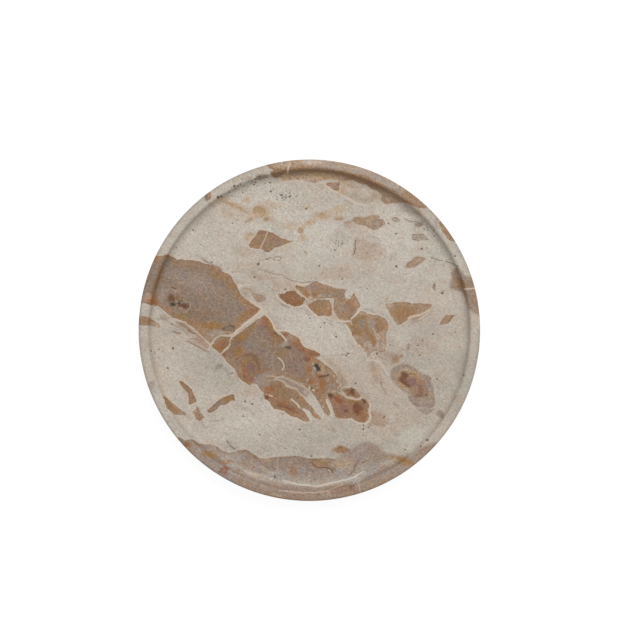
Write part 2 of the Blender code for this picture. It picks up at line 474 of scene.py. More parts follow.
# What is drawn on the shown face, in millimetres from the middle, x to the right and y to the back.
# Each mark lies over those before it. Where clasts overlap, the one that a point is further inside shows.
CLASTS = (
    Clast("left_boulder", Tone.MAUVE, Tone.BROWN, 7.0, path(
        -160, 74, -142, 67, -135, 65.5, -128, 65, -124, 66, -120, 64.5, -116, 62, -110, 61.8, -104, 61.8,
        -99, 60.5, -94, 59, -89, 58, -85, 57.5, -80, 55.5, -77.5, 53, -76.5, 51.5, -72, 50, -69, 47, -66,
        43, -64, 40, -62.5, 36, -60.5, 32, -57, 28, -52, 24, -48, 21.5, -42.5, 18, -46, 15.5, -50, 12,
        -55, 8.5, -60, 4, -63.5, 0.5, -66.5, -2.7, -72, -3.3, -78, -3.9, -83, -6.3, -87, -11.5, -90, -9,
        -94, -5, -98, -1, -103, 3.5, -109, 8, -115, 10, -120, 11.5, -125, 14.5, -129, 18, -133, 21.5,
        -139, 22, -145, 24, -162, 24)),
    Clast("rust_pebble", Tone.RUST, Tone.OLIVE, 3.5, path(
        -86, -13.7, -84, -10.2, -81.5, -7.3, -77.5, -5.6, -73, -5, -69.3, -5.4, -69.8, -9, -70.9, -12.8,
        -72.6, -15.3, -75.5, -17.6, -78.9, -20, -81, -18.3, -84.5, -16)),
    Clast("middle_boulder", Tone.MAUVE, Tone.BROWN, 5.0, path(
        -40, 13.5, -44, 10.5, -49, 6.5, -54, 3.5, -59, -0.5, -63.5, -3.8, -67.3, -6.2, -69.2, -9.2, -69.7,
        -12.8, -71.3, -16.6, -74.7, -19.3, -78, -21.3, -75, -24.5, -73, -27, -69.5, -30, -66, -33.5,
        -64.5, -37, -62.5, -41, -59, -44.5, -55, -47, -53, -49.3, -50, -47, -46, -48, -44, -52, -41,
        -54.5, -40, -50, -38, -47, -34, -44, -30, -41.5, -24, -40, -18, -41, -13, -43.5, -8, -46, -3, -50,
        0, -53.5, 2.5, -54, 6, -50, 10, -51, 14, -54, 15, -58, 19, -54, 24, -51, 27, -48.5, 23, -46, 24.5,
        -42, 23, -38.5, 20, -35, 16, -32, 12, -28, 8, -25.5, 4, -24, 8, -23, 10.5, -21.5, 6, -19, 2, -17,
        -2, -16, -5, -14.5, -7.5, -11, -9, -8, -11, -5.5, -15, -4, -19, -1.5, -24, -1, -28, -0.5, -30, -1,
        -31.5, 3, -33.5, 7, -36, 11)),
    Clast("rust_wedge", Tone.RUST, Tone.UMBER, 3.0, path(
        -28, 32.5, -24, 31.5, -21.5, 32, -20, 34, -16, 34.7, -13.5, 34.5, -10, 32, -7, 30, -4, 28.5, -3,
        27, -5, 26.3, -5.5, 24, -8, 21.5, -13, 21.2, -18, 22.5, -22, 24.7, -25, 27.5)),
    Clast("ochre_slab", Tone.BROWN, Tone.TAN, 2.5, path(
        -12.5, 38, -11, 40, -7, 38.8, -1, 39.2, 2, 41, 6, 42.3, 11, 41, 17, 39.7, 22, 37.5, 27, 36, 33,
        35.5, 31.3, 33, 31, 29, 33, 27.3, 30, 26.5, 26, 26, 22, 25.5, 21, 27.5, 17, 28.6, 11, 28, 5, 28,
        2, 26, -0.5, 27, -2, 28.5, -5, 31, -8, 34, -11, 36)),
    Clast("ochre_block", Tone.BROWN, Tone.BROWN, 2.0, path(
        -2, 22, 0, 23, 3, 25.5, 7, 27, 13, 27, 17, 26, 19, 22.5, 20, 18, 20, 13.5, 17, 12.7, 13, 13.2, 8,
        12.8, 4, 15.5, 0.5, 19)),
    Clast("mottled_block", Tone.BROWN, Tone.TAN, 2.5, path(
        22, 26, 26, 26.3, 31, 27.3, 36, 27.3, 37.5, 30.5, 39, 33, 40.5, 32, 42, 28, 44, 24, 44.5, 20.5,
        43, 17, 40, 13.5, 37.5, 12, 36, 9.5, 31, 8.7, 26, 10, 23.5, 12.5, 22, 17, 21.8, 22)),
    Clast("eye_clast", Tone.BROWN, Tone.TAN, 3.5, path(
        31, 5.5, 34, 7, 36.5, 9.5, 40, 12, 43, 15, 46.5, 16.7, 50, 15.3, 54, 13.4, 59, 13.6, 64, 12, 68,
        9.5, 69.5, 5, 69, 1, 67.5, -1.5, 67.5, -8, 68, -14, 67, -18.5, 62, -19.5, 58, -18, 55, -19.5, 51,
        -25, 50, -21, 48, -17.5, 43.5, -13, 40, -8.5, 36.5, -2, 33.5, 3)),
    Clast("triangle", Tone.TAN, Tone.TAN, 2.0, path(
        66, 22.5, 70, 24, 76, 24.6, 82, 24.8, 88, 24.2, 94, 23.3, 100, 23.8, 104, 23.7, 107, 23, 107.6,
        21, 105, 18.7, 101, 16.3, 96, 14.2, 91, 12, 87, 9.7, 83, 7, 80, 4.3, 78, 4.5, 75, 8, 72, 12, 70,
        16, 67, 20.3)),
    Clast("small_lozenge", Tone.TAN, Tone.TAN, 1.2, path(
        113.7, 4.2, 115.5, 7.5, 117.5, 11.3, 120, 13.2, 124, 13, 128.5, 13.2, 127, 11, 124, 8, 121, 6,
        117, 5)),
    Clast("right_boulder", Tone.MAUVE, Tone.PALE_MAUVE, 5.0, path(
        72, -35, 75, -31.5, 80, -29.6, 87, -30, 92, -32, 96, -36, 100, -39, 105, -39.7, 107.5, -42, 107,
        -46, 109, -50, 109.5, -57, 110.5, -62, 109.5, -66, 106, -68.3, 100, -67.5, 95, -68, 91, -65, 88.5,
        -61, 87, -56.5, 84, -54.5, 81, -52.5, 78, -50, 76, -47.5, 72.5, -44.5, 71.5, -40), 0.9),
    Clast("finger_one", Tone.BROWN, Tone.UMBER, 1.0, path(
        -115.5, -44.7, -112, -45.7, -108, -48.7, -105, -50.5, -103, -55, -101, -59, -98.8, -62.5, -101.5,
        -64, -105, -66, -106.2, -64, -106, -60, -107, -55.5, -110, -52, -113, -49.5)),
    Clast("finger_two", Tone.BROWN, Tone.TAN, 1.5, path(
        -129.5, -56.5, -126, -59.5, -122, -62.5, -118, -65.8, -114, -68.6, -110.7, -71, -108.8, -74, -113,
        -74.6, -118, -74, -122, -71, -125.5, -67, -127, -62.5)),
    Clast("finger_three", Tone.BROWN, Tone.UMBER, 1.0, path(
        -90, -71, -88.5, -73, -85, -72.6, -81, -69.3, -78.5, -66.3, -74, -65.6, -71, -63, -68, -61.6,
        -65.3, -61.3, -66.3, -59, -65.7, -57.2, -68.5, -56.2, -72, -57.6, -76, -59.3, -80, -62, -85, -66,
        -88, -69)),
    Clast("finger_four", Tone.BROWN, Tone.TAN, 1.2, path(
        -103.3, -71, -100, -70, -98.5, -67, -96.8, -69.5, -95.5, -73, -92, -77, -94.8, -77.6, -96.5,
        -80.3, -99.3, -78.8, -101, -75, -102.5, -72.7)),
    Clast("foot_clast", Tone.CHESTNUT, Tone.BROWN, 2.0, path(
        -40.5, -48, -40.5, -53, -40.3, -57.5, -39, -61, -35, -63.7, -33, -66.5, -31, -69, -27, -70, -23,
        -70.5, -20, -73, -16, -76, -11, -76.3, -6, -79, -3, -80.7, 0.5, -80.2, -1, -77.5, -3, -74, -6,
        -70.3, -9.5, -68, -12, -65, -15, -61.5, -17, -57, -13, -53.5, -17, -50, -20, -49.5, -22, -48, -26,
        -45, -31, -44.5, -36, -45.5)),
    Clast("brown_sliver", Tone.BROWN, Tone.TAN, 1.2, path(
        -17.5, -58, -17, -52, -15, -50.3, -12, -52, -9.5, -55.5, -5, -60, -1.5, -63.5, 2, -67, 4.5, -70.5,
        8, -74.5, 11, -77.8, 9.5, -79, 5, -77.3, 2, -74.8, 0, -71.5, -4, -69.7, -8, -68, -12, -63, -15.5,
        -60.5)),
    Clast("needle", Tone.BROWN, Tone.TAN, 1.0, path(
        2, -54, 6, -51, 11, -52, 14.5, -55, 15, -60, 15.5, -64, 17, -69, 18.5, -74.5, 16, -75.5, 13, -72,
        10.5, -67.5, 8, -63, 5, -58.5)),
    Clast("rust_loaf", Tone.CHESTNUT, Tone.BROWN, 1.8, path(
        16.5, -60.5, 15.5, -57, 18, -54.5, 22, -54.2, 26, -55.5, 30, -58, 33, -60.6, 38, -61.3, 43, -61.8,
        47, -60, 50, -60.5, 52.5, -65, 52, -70, 52.3, -76, 50.5, -80, 47.5, -81.7, 44, -80.7, 40, -78.8,
        37, -77.6, 31, -77.6, 25, -77.7, 22.5, -75.5, 21, -70.5, 19.5, -65.5)),
    Clast("dark_cap", Tone.UMBER, Tone.TAN, 1.5, path(
        28.5, -52, 33, -50.4, 37.5, -49.8, 40.5, -52, 44, -55, 46, -57, 44.3, -59.5, 38, -59.2, 34, -57.8,
        31, -55)),
    Clast("arrowhead", Tone.BROWN, Tone.BROWN, 2.0, path(
        -53.5, 75, -50.5, 79.5, -47, 83, -45, 86.5, -43.5, 88.3, -40, 88, -36, 86.5, -32, 86, -28.5, 83.7,
        -25.5, 81.5, -21, 80.4, -18.5, 79.2, -14, 79, -16.5, 77.6, -20, 76.7, -25, 74.8, -30, 72.6, -33,
        70.5, -35, 68.7, -39, 69, -40.5, 71, -43.5, 71.7, -48, 71.5, -52, 73)),
    Clast("upper_loaf", Tone.TAN, Tone.TAN, 2.0, path(
        37.5, 96.5, 39.5, 99.5, 43, 100, 48, 99.3, 52, 100.6, 56, 101.2, 61, 101, 62, 99, 60.5, 98.2,
        64.5, 98, 67, 95.5, 66.7, 93, 62.5, 91.5, 59, 89, 55.5, 87.8, 52, 89.5, 49.5, 92, 45, 92.5, 41,
        94), 0.7),
    Clast("pink_oval", Tone.TAN, Tone.TAN, 1.5, path(
        84.5, 57, 86.5, 60, 90, 62.3, 93, 64.7, 97, 65.6, 101, 64.7, 102.2, 63, 99.5, 60, 95.5, 57.3, 91,
        54.9, 86.5, 55), 0.8),
    Clast("brow_block", Tone.TAN, Tone.BROWN, 1.5, path(
        13.8, 128.7, 17, 130, 22, 130.8, 26.2, 130.7, 27, 128.5, 26, 126, 26.7, 123.3, 24, 122.8, 20,
        124.5, 16, 126.8)),
    Clast("brown_band", Tone.TAN, Tone.BROWN, 2.5, path(
        -34, 137.5, -32, 134.5, -28.5, 133.5, -25, 134.5, -23, 131, -18, 131, -13, 132.5, -6, 132, 0, 131,
        6, 130.5, 11, 132, 17, 132.5, 24, 132, 29, 130.5, 33, 131.5, 38, 132, 44, 129.5, 50, 128, 54,
        124.5, 60, 123, 64, 118.5, 62.5, 115.5, 66, 112, 71, 111.4, 78, 112, 84, 112, 90, 110, 95, 107.3,
        101, 107.5, 112, 112, 118, 122, 95, 140, 60, 156, 20, 166, -20, 166, -21, 150, -26, 142, -30,
        141), 0.8),
    Clast("corner_patch", Tone.BROWN, Tone.TAN, 1.5, path(
        113.5, 93.5, 115, 95.5, 124, 102, 140, 90, 129, 78, 125, 78.5, 121.5, 80.5, 119.5, 83, 117, 86,
        116, 89.5)),
    Clast("corner_chip", Tone.TAN, Tone.MAUVE, 1.2, path(
        -92, 118, -92.5, 121.5, -89, 122, -86.8, 120, -86.3, 117.5, -87, 115, -90, 113.3, -91.8, 115),
        0.7),
    Clast("brow_stripes", Tone.BROWN, Tone.TAN, 2.5, path(
        -38.5, 145, -40, 156, -26, 160, -25, 147, -24.5, 142, -28.5, 139.5, -32, 140.5, -35.5, 143.5)),
    Clast("right_edge_clast", Tone.BROWN, Tone.PALE_MAUVE, 5.0, path(
        124, 38, 125, 44, 125, 50, 128, 54, 130.5, 56, 133, 52, 137, 48.5, 150, 44, 168, 20, 168, 6,
        148.7, 12.2, 144, 15.3, 140.3, 18.2, 138.5, 24, 137, 29, 133.5, 33.5, 128, 36), 1.6),
    Clast("left_chip", Tone.BROWN, Tone.TAN, 1.5, path(
        -166, 13, -149.5, 12.3, -145, 11.8, -140, 11, -137, 9, -133.5, 5.5, -130.5, 2.5, -134, 2.2, -139,
        4.2, -145, 4.4, -166, 4.2), 0.6),
    Clast("front_shelf", Tone.PALE_MAUVE, Tone.MAUVE, 3.5, path(
        -118, -95, -113, -94.3, -110, -96.8, -105, -95.8, -100, -97.3, -98, -99.7, -93, -100.7, -88,
        -100.7, -82, -101.8, -79, -104, -75.5, -106.5, -71, -108, -66, -107, -62, -105.3, -57, -105, -53,
        -106.3, -48, -109.5, -43, -112.7, -38, -113.5, -33, -112.3, -28, -111.6, -20, -111, -12, -110.6,
        -7, -111.3, -3, -112.3, 1, -113, 5, -112.6, 10, -112.8, 16, -113.3, 22, -113.5, 28, -116, 34,
        -121, 40, -128, 44, -140, 44, -176, 0, -176, -100, -150), 0.5),
    Clast("front_haze", Tone.PALE_MAUVE, Tone.PALE_MAUVE, 3.5, path(
        20, -118, 26, -111, 34, -105.5, 40, -102, 46, -99.5, 52, -98.5, 57, -99.5, 61, -103, 66, -107, 74,
        -109.5, 82, -110.3, 89, -110, 93, -106.5, 96.5, -104, 101, -102, 105, -99.5, 111, -99, 124, -108,
        100, -150, 10, -176, 10, -125), 2.4),
    Clast("front_chip", Tone.BROWN, Tone.TAN, 1.5, path(
        19.5, -104.7, 21, -106.5, 25, -108, 30, -108.2, 35, -107, 38, -105, 32, -103, 27, -102, 24,
        -100.8, 23, -103.5), 0.7),
    Clast("grey_pebble", Tone.GREY, Tone.GREY, 1.0, path(
        71.5, 97, 74, 99.5, 78, 99, 80, 97, 79, 95.3, 75, 95.3)),
    Clast("grey_lens", Tone.PALE_MAUVE, Tone.GREY, 1.0, path(
        91.5, 95.3, 95, 94.8, 100.3, 95.8, 100.3, 92.5, 98, 90.8, 95, 91.3, 92.5, 93.5)),
    Clast("grey_step", Tone.GREY, Tone.GREY, 1.0, path(
        90.3, 84.5, 91, 79.3, 97, 78.3, 105.5, 78.8, 103.3, 81.5, 101, 85, 96, 85.4, 92.5, 84.6)),
    Clast("mauve_chip", Tone.PALE_MAUVE, Tone.GREY, 1.2, path(
        111.8, -72, 114, -70.8, 117.3, -70, 118.5, -73.5, 118.3, -78.3, 116, -77, 113, -76.2, 111.2,
        -74.5)),
    Clast("small_leaf", Tone.TAN, Tone.GREY, 0.8, path(
        108.2, 37.5, 109.5, 41.7, 110.6, 41.5, 111.2, 38, 112.3, 34.6, 110.2, 34.3)),
    Clast("tan_tail", Tone.TAN, Tone.GREY, 2.0, path(
        -52, 33.5, -47, 31.8, -43, 31.2, -39.5, 30.3, -37.8, 28, -38.5, 25.3, -42, 24, -46, 24, -48.5,
        27.5, -50.5, 30.5)),
)

GROUND_MARKS = (
    *stains(Tone.PALE,
        (0.45, 10, -4, 42, 17, -25), (0.6, -92, 76, 40, 18, 20), (0.3, -115, -50, 28, 16, -40), (0.8, -45,
        108, 34, 24), (0.9, 10, 82, 28, 26), (0.9, 76, 88, 26, 20), (0.6, -60, -86, 38, 13, 5)),
    *stains(Tone.GREY,
        (0.28, 0, -98, 80, 14), (0.6, 86, 107, 9, 5, -25), (0.35, -86, -36, 32, 14, -35), (0.32, 74, -14,
        36, 15, -10), (0.35, 98, -48, 32, 24, 40), (0.3, 35, -62, 32, 17, -20), (0.25, 100, -78, 26, 14,
        50)),
    *stains(Tone.PINK,
        (0.45, 52, -52, 30, 24, -40), (0.4, 75, -80, 30, 12, 20), (0.5, 100, -14, 14, 8), (0.55, 70, -26,
        11, 6, -15), (0.5, 102, 11, 14, 5, 10), (0.6, 60, -38, 5, 10, 20)),
    *stains(Tone.SAGE, (0.6, -29, 89, 8, 3), (0.5, 92, -92, 13, 7, 15)),
    *patches(Tone.PINK,
        (0.8, 1.2, 40, 82, 46, 80.5, 55, 78, 62, 75, 66, 71.5, 65, 66, 60, 61.5, 50, 60.5, 40, 62.5, 36.5,
        66, 39, 72, 40, 79), (0.7, 1.5, 10, 46, 10, 55, 22, 56, 36, 55, 37, 47, 24, 45), (0.75, 0.8, -46,
        43.5, -46, 48.5, -33, 49.5, -32, 44), (0.7, 1.2, -33, 35, -33, 47, -18, 46, -11, 42, -13, 38, -22,
        35), (0.8, 2, -107, -10, -108, -3, -104, 1, -98, -3, -92, -8, -87, -13, -88, -19, -93, -17, -100,
        -13), (0.8, 1, 30, 90, 30.5, 95, 37, 96, 41, 94, 44, 91, 36, 89.5)),
    *patches(Tone.TAN,
        (0.35, 1.5, 24, -37, 27, -38, 31, -41, 34, -46.5, 30, -48, 25, -47.5), (0.4, 2, -105, -8, -103, -2,
        -98, -5, -91, -10, -88, -15, -93, -15, -100, -12), (0.65, 1.5, 53.5, -71.5, 58, -71.5, 62, -71, 66,
        -74, 69.5, -77, 68.5, -82, 66, -85, 58, -84.5, 52, -84, 50.5, -82, 53, -79), (0.45, 2.5, -128, 18,
        -120, 12.5, -110, 8, -103, 3.5, -98, -1, -93, -6, -88, -12, -91, -15, -98, -10, -106, -3.5, -114, 3,
        -122, 8, -130, 12)),
    *patches(Tone.GREY, (0.5, 1, 50, 82.5, 52, 84.5, 57, 83, 63, 80.5, 61, 79.8, 55, 81)),
    *patches(Tone.STRAW,
        (0.3, 1.6, 26, 124, 28, 131, 33, 131, 50, 127, 58, 123, 62, 118, 58, 113, 50, 111, 43, 113, 36,
        116.5, 29, 120), (0.55, 1.5, -79, 118, -74, 117.5, -69, 113.8, -64, 111.5, -59, 109, -55.5, 105,
        -55, 103, -58, 103.5, -62, 106, -68, 107.5, -74, 111, -79, 114.5)),
    *patches(Tone.MAUVE, (0.35, 2, 36, 117, 42, 124, 54, 121, 60, 117, 56, 113, 48, 112)),
    *streaks(Tone.STRAW, (0.6, 3, -7, 89, -4, 92.5, 0, 95)),
    *stains(Tone.STRAW,
        (0.3, -64, 104, 16, 6, -20), (0.35, -37, 101, 6, 5), (0.45, -58, 68.5, 8, 4, -15), (0.7, 11.5, 101,
        6.5, 3.8, 10), (0.5, 27, 107, 9, 3, 15), (0.4, -16, 92, 12, 3), (0.5, 33, 131.5, 7, 5, -20)),
    *stains(Tone.TAN, (0.45, 57.5, -37, 2.5, 9, 15), (0.35, 55, -32, 4, 4), (0.75, 28.5, -52, 5, 6.5, 20)),
    *stains(Tone.PALE_MAUVE, (0.8, 103, -70.5, 6, 3, 0, 0.4)),
    *streaks(Tone.SLATE,
        (0.3, 1.5, -72, -36.5, -69, -42, -66, -47), (0.4, 1.1, -47, 56.3, -40, 53.2, -33, 51), (0.55, 1.3,
        40.6, 79, 40, 73, 39.6, 68.5, 38, 65.5), (0.5, 1.5, 86, 96.3, 91, 96, 96, 95.2, 100.5, 96)),
    *streaks(Tone.UMBER, (0.5, 1.1, -92, 61.3, -86, 58.3, -80, 55.8, -77.5, 53.3)),
    *streaks(Tone.GREY, (0.5, 3, -61, 52, -46, 52.5)),
    *patches(Tone.MAUVE,
        (0.35, 1.2, 109, 90, 112, 99, 118, 94, 113, 88), (0.75, 1.2, -47, 133, -44, 132, -39, 133.5, -36,
        136, -40, 138, -45, 136), (0.85, 0.7, -36, -42, -30, -40.3, -24, -39.4, -14, -41.8, -8, -45.3, -2,
        -49.8, 0.5, -54, -3, -58.5, -6, -57.5, -11, -53.4, -18, -49.8, -25, -45.8, -33, -44.8)),
    *patches(Tone.TAN, (0.6, 1.2, -90.5, 110, -87.5, 112.5, -83.5, 110, -83.5, 107.7, -87, 107.7)),
    *streaks(Tone.BROWN,
        (0.75, 1, -113, 5.5, -106, -0.5, -100, -4, -94, -9, -88.5, -13.5), (0.6, 0.9, -120, 6, -112, 0.5,
        -105, -5, -97, -10, -91, -15.5), (0.6, 0.9, -131, 12, -124, 7.5, -117, 3), (0.6, 1.1, -107.5, -10,
        -100, -13, -94, -16.5, -90, -18.5), (0.75, 1.6, -55.5, 95.3, -53.5, 96, -51.3, 98), (0.7, 1.7, 30.5,
        94.3, 33, 94.8, 37, 95.6), (0.5, 1.2, 72, -29.5, 74, -28.3, 78, -27.6, 79, -25), (0.6, 1.2, -117,
        7.5, -112, 5, -107, 2), (0.6, 1.4, -119, -0.5, -117, -1.8, -113.5, -2.8), (0.45, 1.3, -101, -4, -96,
        -6, -91, -8.5), (0.5, 1.2, -100, 0.5, -96, -3, -91, -6), (0.55, 1.2, 63.5, -50, 65.5, -53, 68,
        -56.5), (0.5, 1, -75, 113.5, -71, 111.3, -68.5, 110.8), (0.5, 1, -60.5, 107, -57.5, 105, -55,
        103.5), (0.5, 1.1, -47, 107.8, -43.5, 108, -40.5, 106.8)),
    *stains(Tone.UMBER, (0.8, -38, 97.5, 2.2, 1.8, 0, 0.3)),
    *stains(Tone.STRAW,
        (0.8, -53.5, 82.5, 5, 3.5, 20), (0.7, 2, 95, 5, 2.2, 10), (0.5, -6, 81, 4, 3), (0.5, 26, 98, 5,
        2.5), (0.7, 28, 121.5, 4, 3.5)),
    *stains(Tone.BROWN,
        (0.6, 24, 98, 1.5, 1.3, 0, 0.4), (0.7, -3.2, 68, 1.5, 1.8, 30, 0.4), (0.4, 76, -25, 3.6, 3.4, 0,
        0.3), (0.5, 81.2, -23.5, 1.3, 1.2, 0, 0.4)),
    *stains(Tone.OLIVE, (0.4, -7.3, 88, 2.3, 2.2, 0, 0.4)),
    *streaks(Tone.SLATE,
        (0.6, 1.3, -90.5, -17.5, -88, -19.5), (0.55, 1.4, -134, 10, -130, 9.7, -126, 9), (0.6, 1.7, -84.5,
        -35, -80.5, -33.8, -77, -31.5), (0.4, 2.2, -81.5, -31, -78, -31), (0.7, 1.3, -74, -34, -72.5, -36),
        (0.45, 1.2, -86.5, -79.3, -84, -80, -82, -79.7), (0.45, 1.2, -80.5, -79.6, -77.5, -79.4, -75, -78),
        (0.4, 1.1, -60, -68.7, -55, -68.5, -51, -69.8), (0.45, 1.2, -75.5, -90, -71.5, -92.5), (0.6, 1.2,
        -72.5, -97.5, -71, -101), (0.65, 1.3, -69.5, -100.8, -66.5, -104, -63, -105), (0.5, 1.1, -95, -77.5,
        -94.3, -82, -92, -86), (0.45, 1.3, 19, -86.8, 22.5, -89), (0.4, 1.3, -5, -91, -3.5, -93.5), (0.35,
        1.4, 1.5, -97, 4, -98.5), (0.5, 1, -51, 35, -46, 32.8, -42, 31.8), (0.35, 1.2, 56, 76.2, 63, 75),
        (0.5, 1.4, 50.5, 18.4, 54, 17.3, 57.5, 15), (0.5, 1.2, 66.8, 24.5, 69.5, 27.8), (0.4, 1.2, 91, 8.7,
        98, 9), (0.4, 0.9, 100, 10.5, 106.5, 14.5), (0.5, 1.4, 75, -92, 79, -92.3), (0.35, 1, 75.5, -89.5,
        78.5, -89.6), (0.35, 1.2, 67.5, -98, 71, -98.5), (0.45, 1.4, 14, 11.5, 17.5, 8.5, 20, 5), (0.6, 1.3,
        -24.5, 22.3, -21, 20.8, -18.5, 20.2), (0.5, 1.2, -10, 20.3, -6, 19.8), (0.3, 1, -8.5, 100.6, -4,
        100), (0.4, 1.6, 31, 116.5, 33.5, 113.5, 37, 112), (0.4, 1.3, 45, 110.3, 55, 108)),
    *streaks(Tone.BROWN, (0.4, 1, -45, 103.5, -42, 102, -44, 100)),
    *streaks(Tone.OCHRE,
        (0.5, 1.4, -72.5, 112.3, -68, 110, -64, 108.8, -60.5, 107), (0.5, 1.6, -48.5, 106.5, -45, 108, -41,
        107.3, -38.5, 105), (0.4, 1.4, -48.5, 103, -47, 100, -50, 98)),
    *stains(Tone.OCHRE, (0.35, 11, 101, 3.4, 2.2), (0.3, 26, 98, 3.4, 1.4)),
    *stains(Tone.TAN, (0.4, 70, -22, 10, 4, -10), (0.4, 94, 13.5, 13, 2.4, 20)),
    *stains(Tone.STRAW,
        (0.7, -54.5, 114.5, 3, 2.4), (0.5, -33, 109, 7, 2.4, 25), (0.35, 20, 101, 10, 5), (0.5, -43, 105, 5,
        5), (0.3, -19, 74, 7, 3), (0.2, -64, 109, 8, 4), (0.3, -55, 56, 9, 4), (0.3, -40, 112, 6, 3)),
    *stains(Tone.GREY,
        (0.4, 26, 80, 9, 7), (0.25, 12, 60, 12, 9), (0.5, -30, 6, 10, 4, -50), (0.4, -86, -24, 5, 11), (0.5,
        -56, 34, 3, 4), (0.3, -71, -101, 7, 3), (0.3, 97, 90, 8, 8), (0.3, 36, 116, 4, 3)),
    *stains(Tone.PALE, (0.5, 79, -7, 9, 8), (0.45, 108, 28, 20, 6), (0.5, 44, -11, 4, 2.5)),
    *stains(Tone.PINK, (0.4, -82, -16, 4, 5)),
    # Painted shade: this soft slate ring at 149.3 mm darkens the rim's outer edge all the way round.
    Streak(Tone.SLATE, 0.4, 1.5, arc((0.0, 0.0), (149.3, 149.3), 0, 360, 36)),
    *stains(Tone.TAN,
        (0.7, 46, -14.5, 5.5, 2.4, -62), (0.3, 96, 12, 10, 3, 30), (0.45, -56, 32, 6, 6), (0.35, 28, -52, 4,
        5), (0.3, -76, -22, 4, 5), (0.35, 36, 128, 8, 2.6, -15), (0.3, -32, 96, 4, 3), (0.3, -48, 47, 7, 4),
        (0.25, -40, 24, 4, 3), (0.35, 0, 24, 3, 4), (0.35, 0, 16, 4, 3), (0.4, 32, 8, 3, 4), (0.5, -64, 0,
        3, 3, 30), (0.4, -64, -40, 3, 3, -30), (0.4, -24, -72, 4, 2, -20)),
    *stains(Tone.PALE,
        (0.4, -84, 108, 5, 3), (0.3, 4, 62, 8, 4), (0.45, 48, 120, 6, 4), (0.4, 104, 88, 4, 4), (0.3, 128,
        72, 5, 4), (0.5, -118, 10, 4, 5, -40)),
    # Painted shade: the four stains on the rim's lower right, from (136, -48) round to (111, -96), darken
    # that stretch of the rim.
    *stains(Tone.GREY,
        (0.4, 132, -61, 4, 12, -25), (0.35, -116, -84, 10, 3, -50), (0.35, 70, -101, 9, 5), (0.3, 84, -61,
        6, 3), (0.35, 68, -28, 6, 3), (0.35, 40, 112, 5, 3), (0.3, -64, 72, 5, 5), (0.3, -96, 64, 6, 2,
        -20), (0.4, 136, -48, 4, 6, -20), (0.4, 127, -73, 4, 8, -30), (0.35, 111, -96, 4, 8, -42), (0.35,
        -75, -104, 8, 3), (0.35, 64, -104, 7, 3), (0.4, -80, -32, 4, 4), (0.3, -64, -56, 4, 3), (0.3, 48,
        -56, 4, 2), (0.3, -28, 132, 5, 3), (0.4, 84, -108, 7, 3, -20), (0.3, -136, -54, 3, 5), (0.3, -130,
        66, 2, 4), (0.35, 29, 90, 4, 3), (0.35, 83, -108, 4, 3)),
    *stains(Tone.BROWN, (0.5, 79.6, -23.4, 2.2, 1.2, 20)),
    *stains(Tone.OLIVE, (0.55, 75.4, -25.8, 3, 2.6), (0.4, 96, 104, 4, 2.4, -45)),
    *stains(Tone.SLATE,
        (0.5, 86.8, -15.4, 0.9, 3.2), (0.4, 34.5, -20, 2.4, 0.9), (0.4, -80, -32.6, 4.4, 1.1, 15, 0.4),
        (0.3, -80, -31.4, 3, 1.4, 20)),
    *stains(Tone.PINK, (0.45, 4, 48, 9, 3), (0.5, -88, -9, 5, 4)),
    *patches(Tone.TAN, (0.45, 1.5, 12, -24, 18, -25, 26, -33, 34, -46, 27, -50, 23, -42, 17, -31)),
    *stains(Tone.TAN,
        (0.3, 64, -32, 4, 4), (0.35, -10, 36, 6, 3), (0.4, -22, 24, 4, 3, -30), (0.3, 20, 24, 3, 4), (0.3,
        -4, 24, 3, 3), (0.35, 20, 12, 4, 4), (0.4, 92, 12, 5, 3), (0.3, -28, 0, 4, 3), (0.4, -72, -60, 5,
        3), (0.35, -40, -60, 4, 3), (0.35, 26, -54, 3, 2), (0.5, 33, -60, 3, 1.6), (0.35, 50, -60, 3, 3),
        (0.35, 26, -108, 6, 2), (0.5, -53, 12, 4, 3), (0.35, -61, 42, 4, 2), (0.35, -13, 36, 4, 3), (0.35,
        -49, 24, 4, 2.4), (0.35, -49, 12, 3, 3), (0.4, -61, 0, 3, 3), (0.35, -109, -54, 3, 3), (0.5, 23,
        -53, 2, 1.4), (0.5, 17, -66, 1, 3), (0.35, 53, -72, 3, 3), (0.3, -61, -42, 3, 3), (0.4, -29.6, -1,
        2, 1.4, -50), (0.4, -54, 134, 3, 2)),
    *stains(Tone.STRAW,
        (0.35, 62, 114, 5, 2.6, -20), (0.5, -40, 102, 5, 3), (0.4, -25, 132, 4, 3), (0.3, 11, 126, 4, 3),
        (0.35, 107, 18, 3, 3), (0.35, 83, 6, 3, 3), (0.6, -45, 104, 8, 5, -10), (0.4, -4, 108, 7, 2.4),
        (0.4, -73, 102, 4, 3), (0.45, -79, 114, 4, 3), (0.45, -37, 97, 3, 2), (0.4, -7, 84, 3, 3)),
    *stains(Tone.MAUVE,
        (0.55, -139, -48, 3, 4, -30), (0.45, -26.5, 28, 1.6, 4, 20), (0.35, 17, -60, 1.4, 2)),
    *stains(Tone.UMBER, (0.55, 81, -23, 1.5, 1.5), (0.35, 87, -15, 1.2, 3, 10)),
    *stains(Tone.TAN,
        (0.45, 26, -54, 4, 1.6, -10), (0.35, -10, 36, 4, 3), (0.45, -22, 24, 4, 2.4, -30), (0.4, 59, 120, 4,
        3), (0.35, -49, 36, 4, 3), (0.35, 89, 12, 3, 3), (0.4, -109, 6, 3, 3), (0.45, -61, 0, 3, 3), (0.35,
        131, -60, 4, 4), (0.45, 53, -75, 2.4, 5), (0.5, 28, -54.6, 4, 2.4), (0.45, 16, -60, 1.6, 4), (0.35,
        -4, 22, 5, 3, -50), (0.4, 31, 8, 5, 2), (0.3, 26, -108, 4, 3)),
    *stains(Tone.PALE,
        (0.4, -124, -62, 3, 5), (0.4, 41, -12, 2, 4), (0.5, 71, -78, 4, 3), (0.5, -139, -6, 3, 4), (0.5, -4,
        -54, 2.4, 2, -40), (0.45, 35, 108, 4, 2), (0.5, -31, 66, 4, 2), (0.4, 41, -12, 2, 4), (0.5, -127,
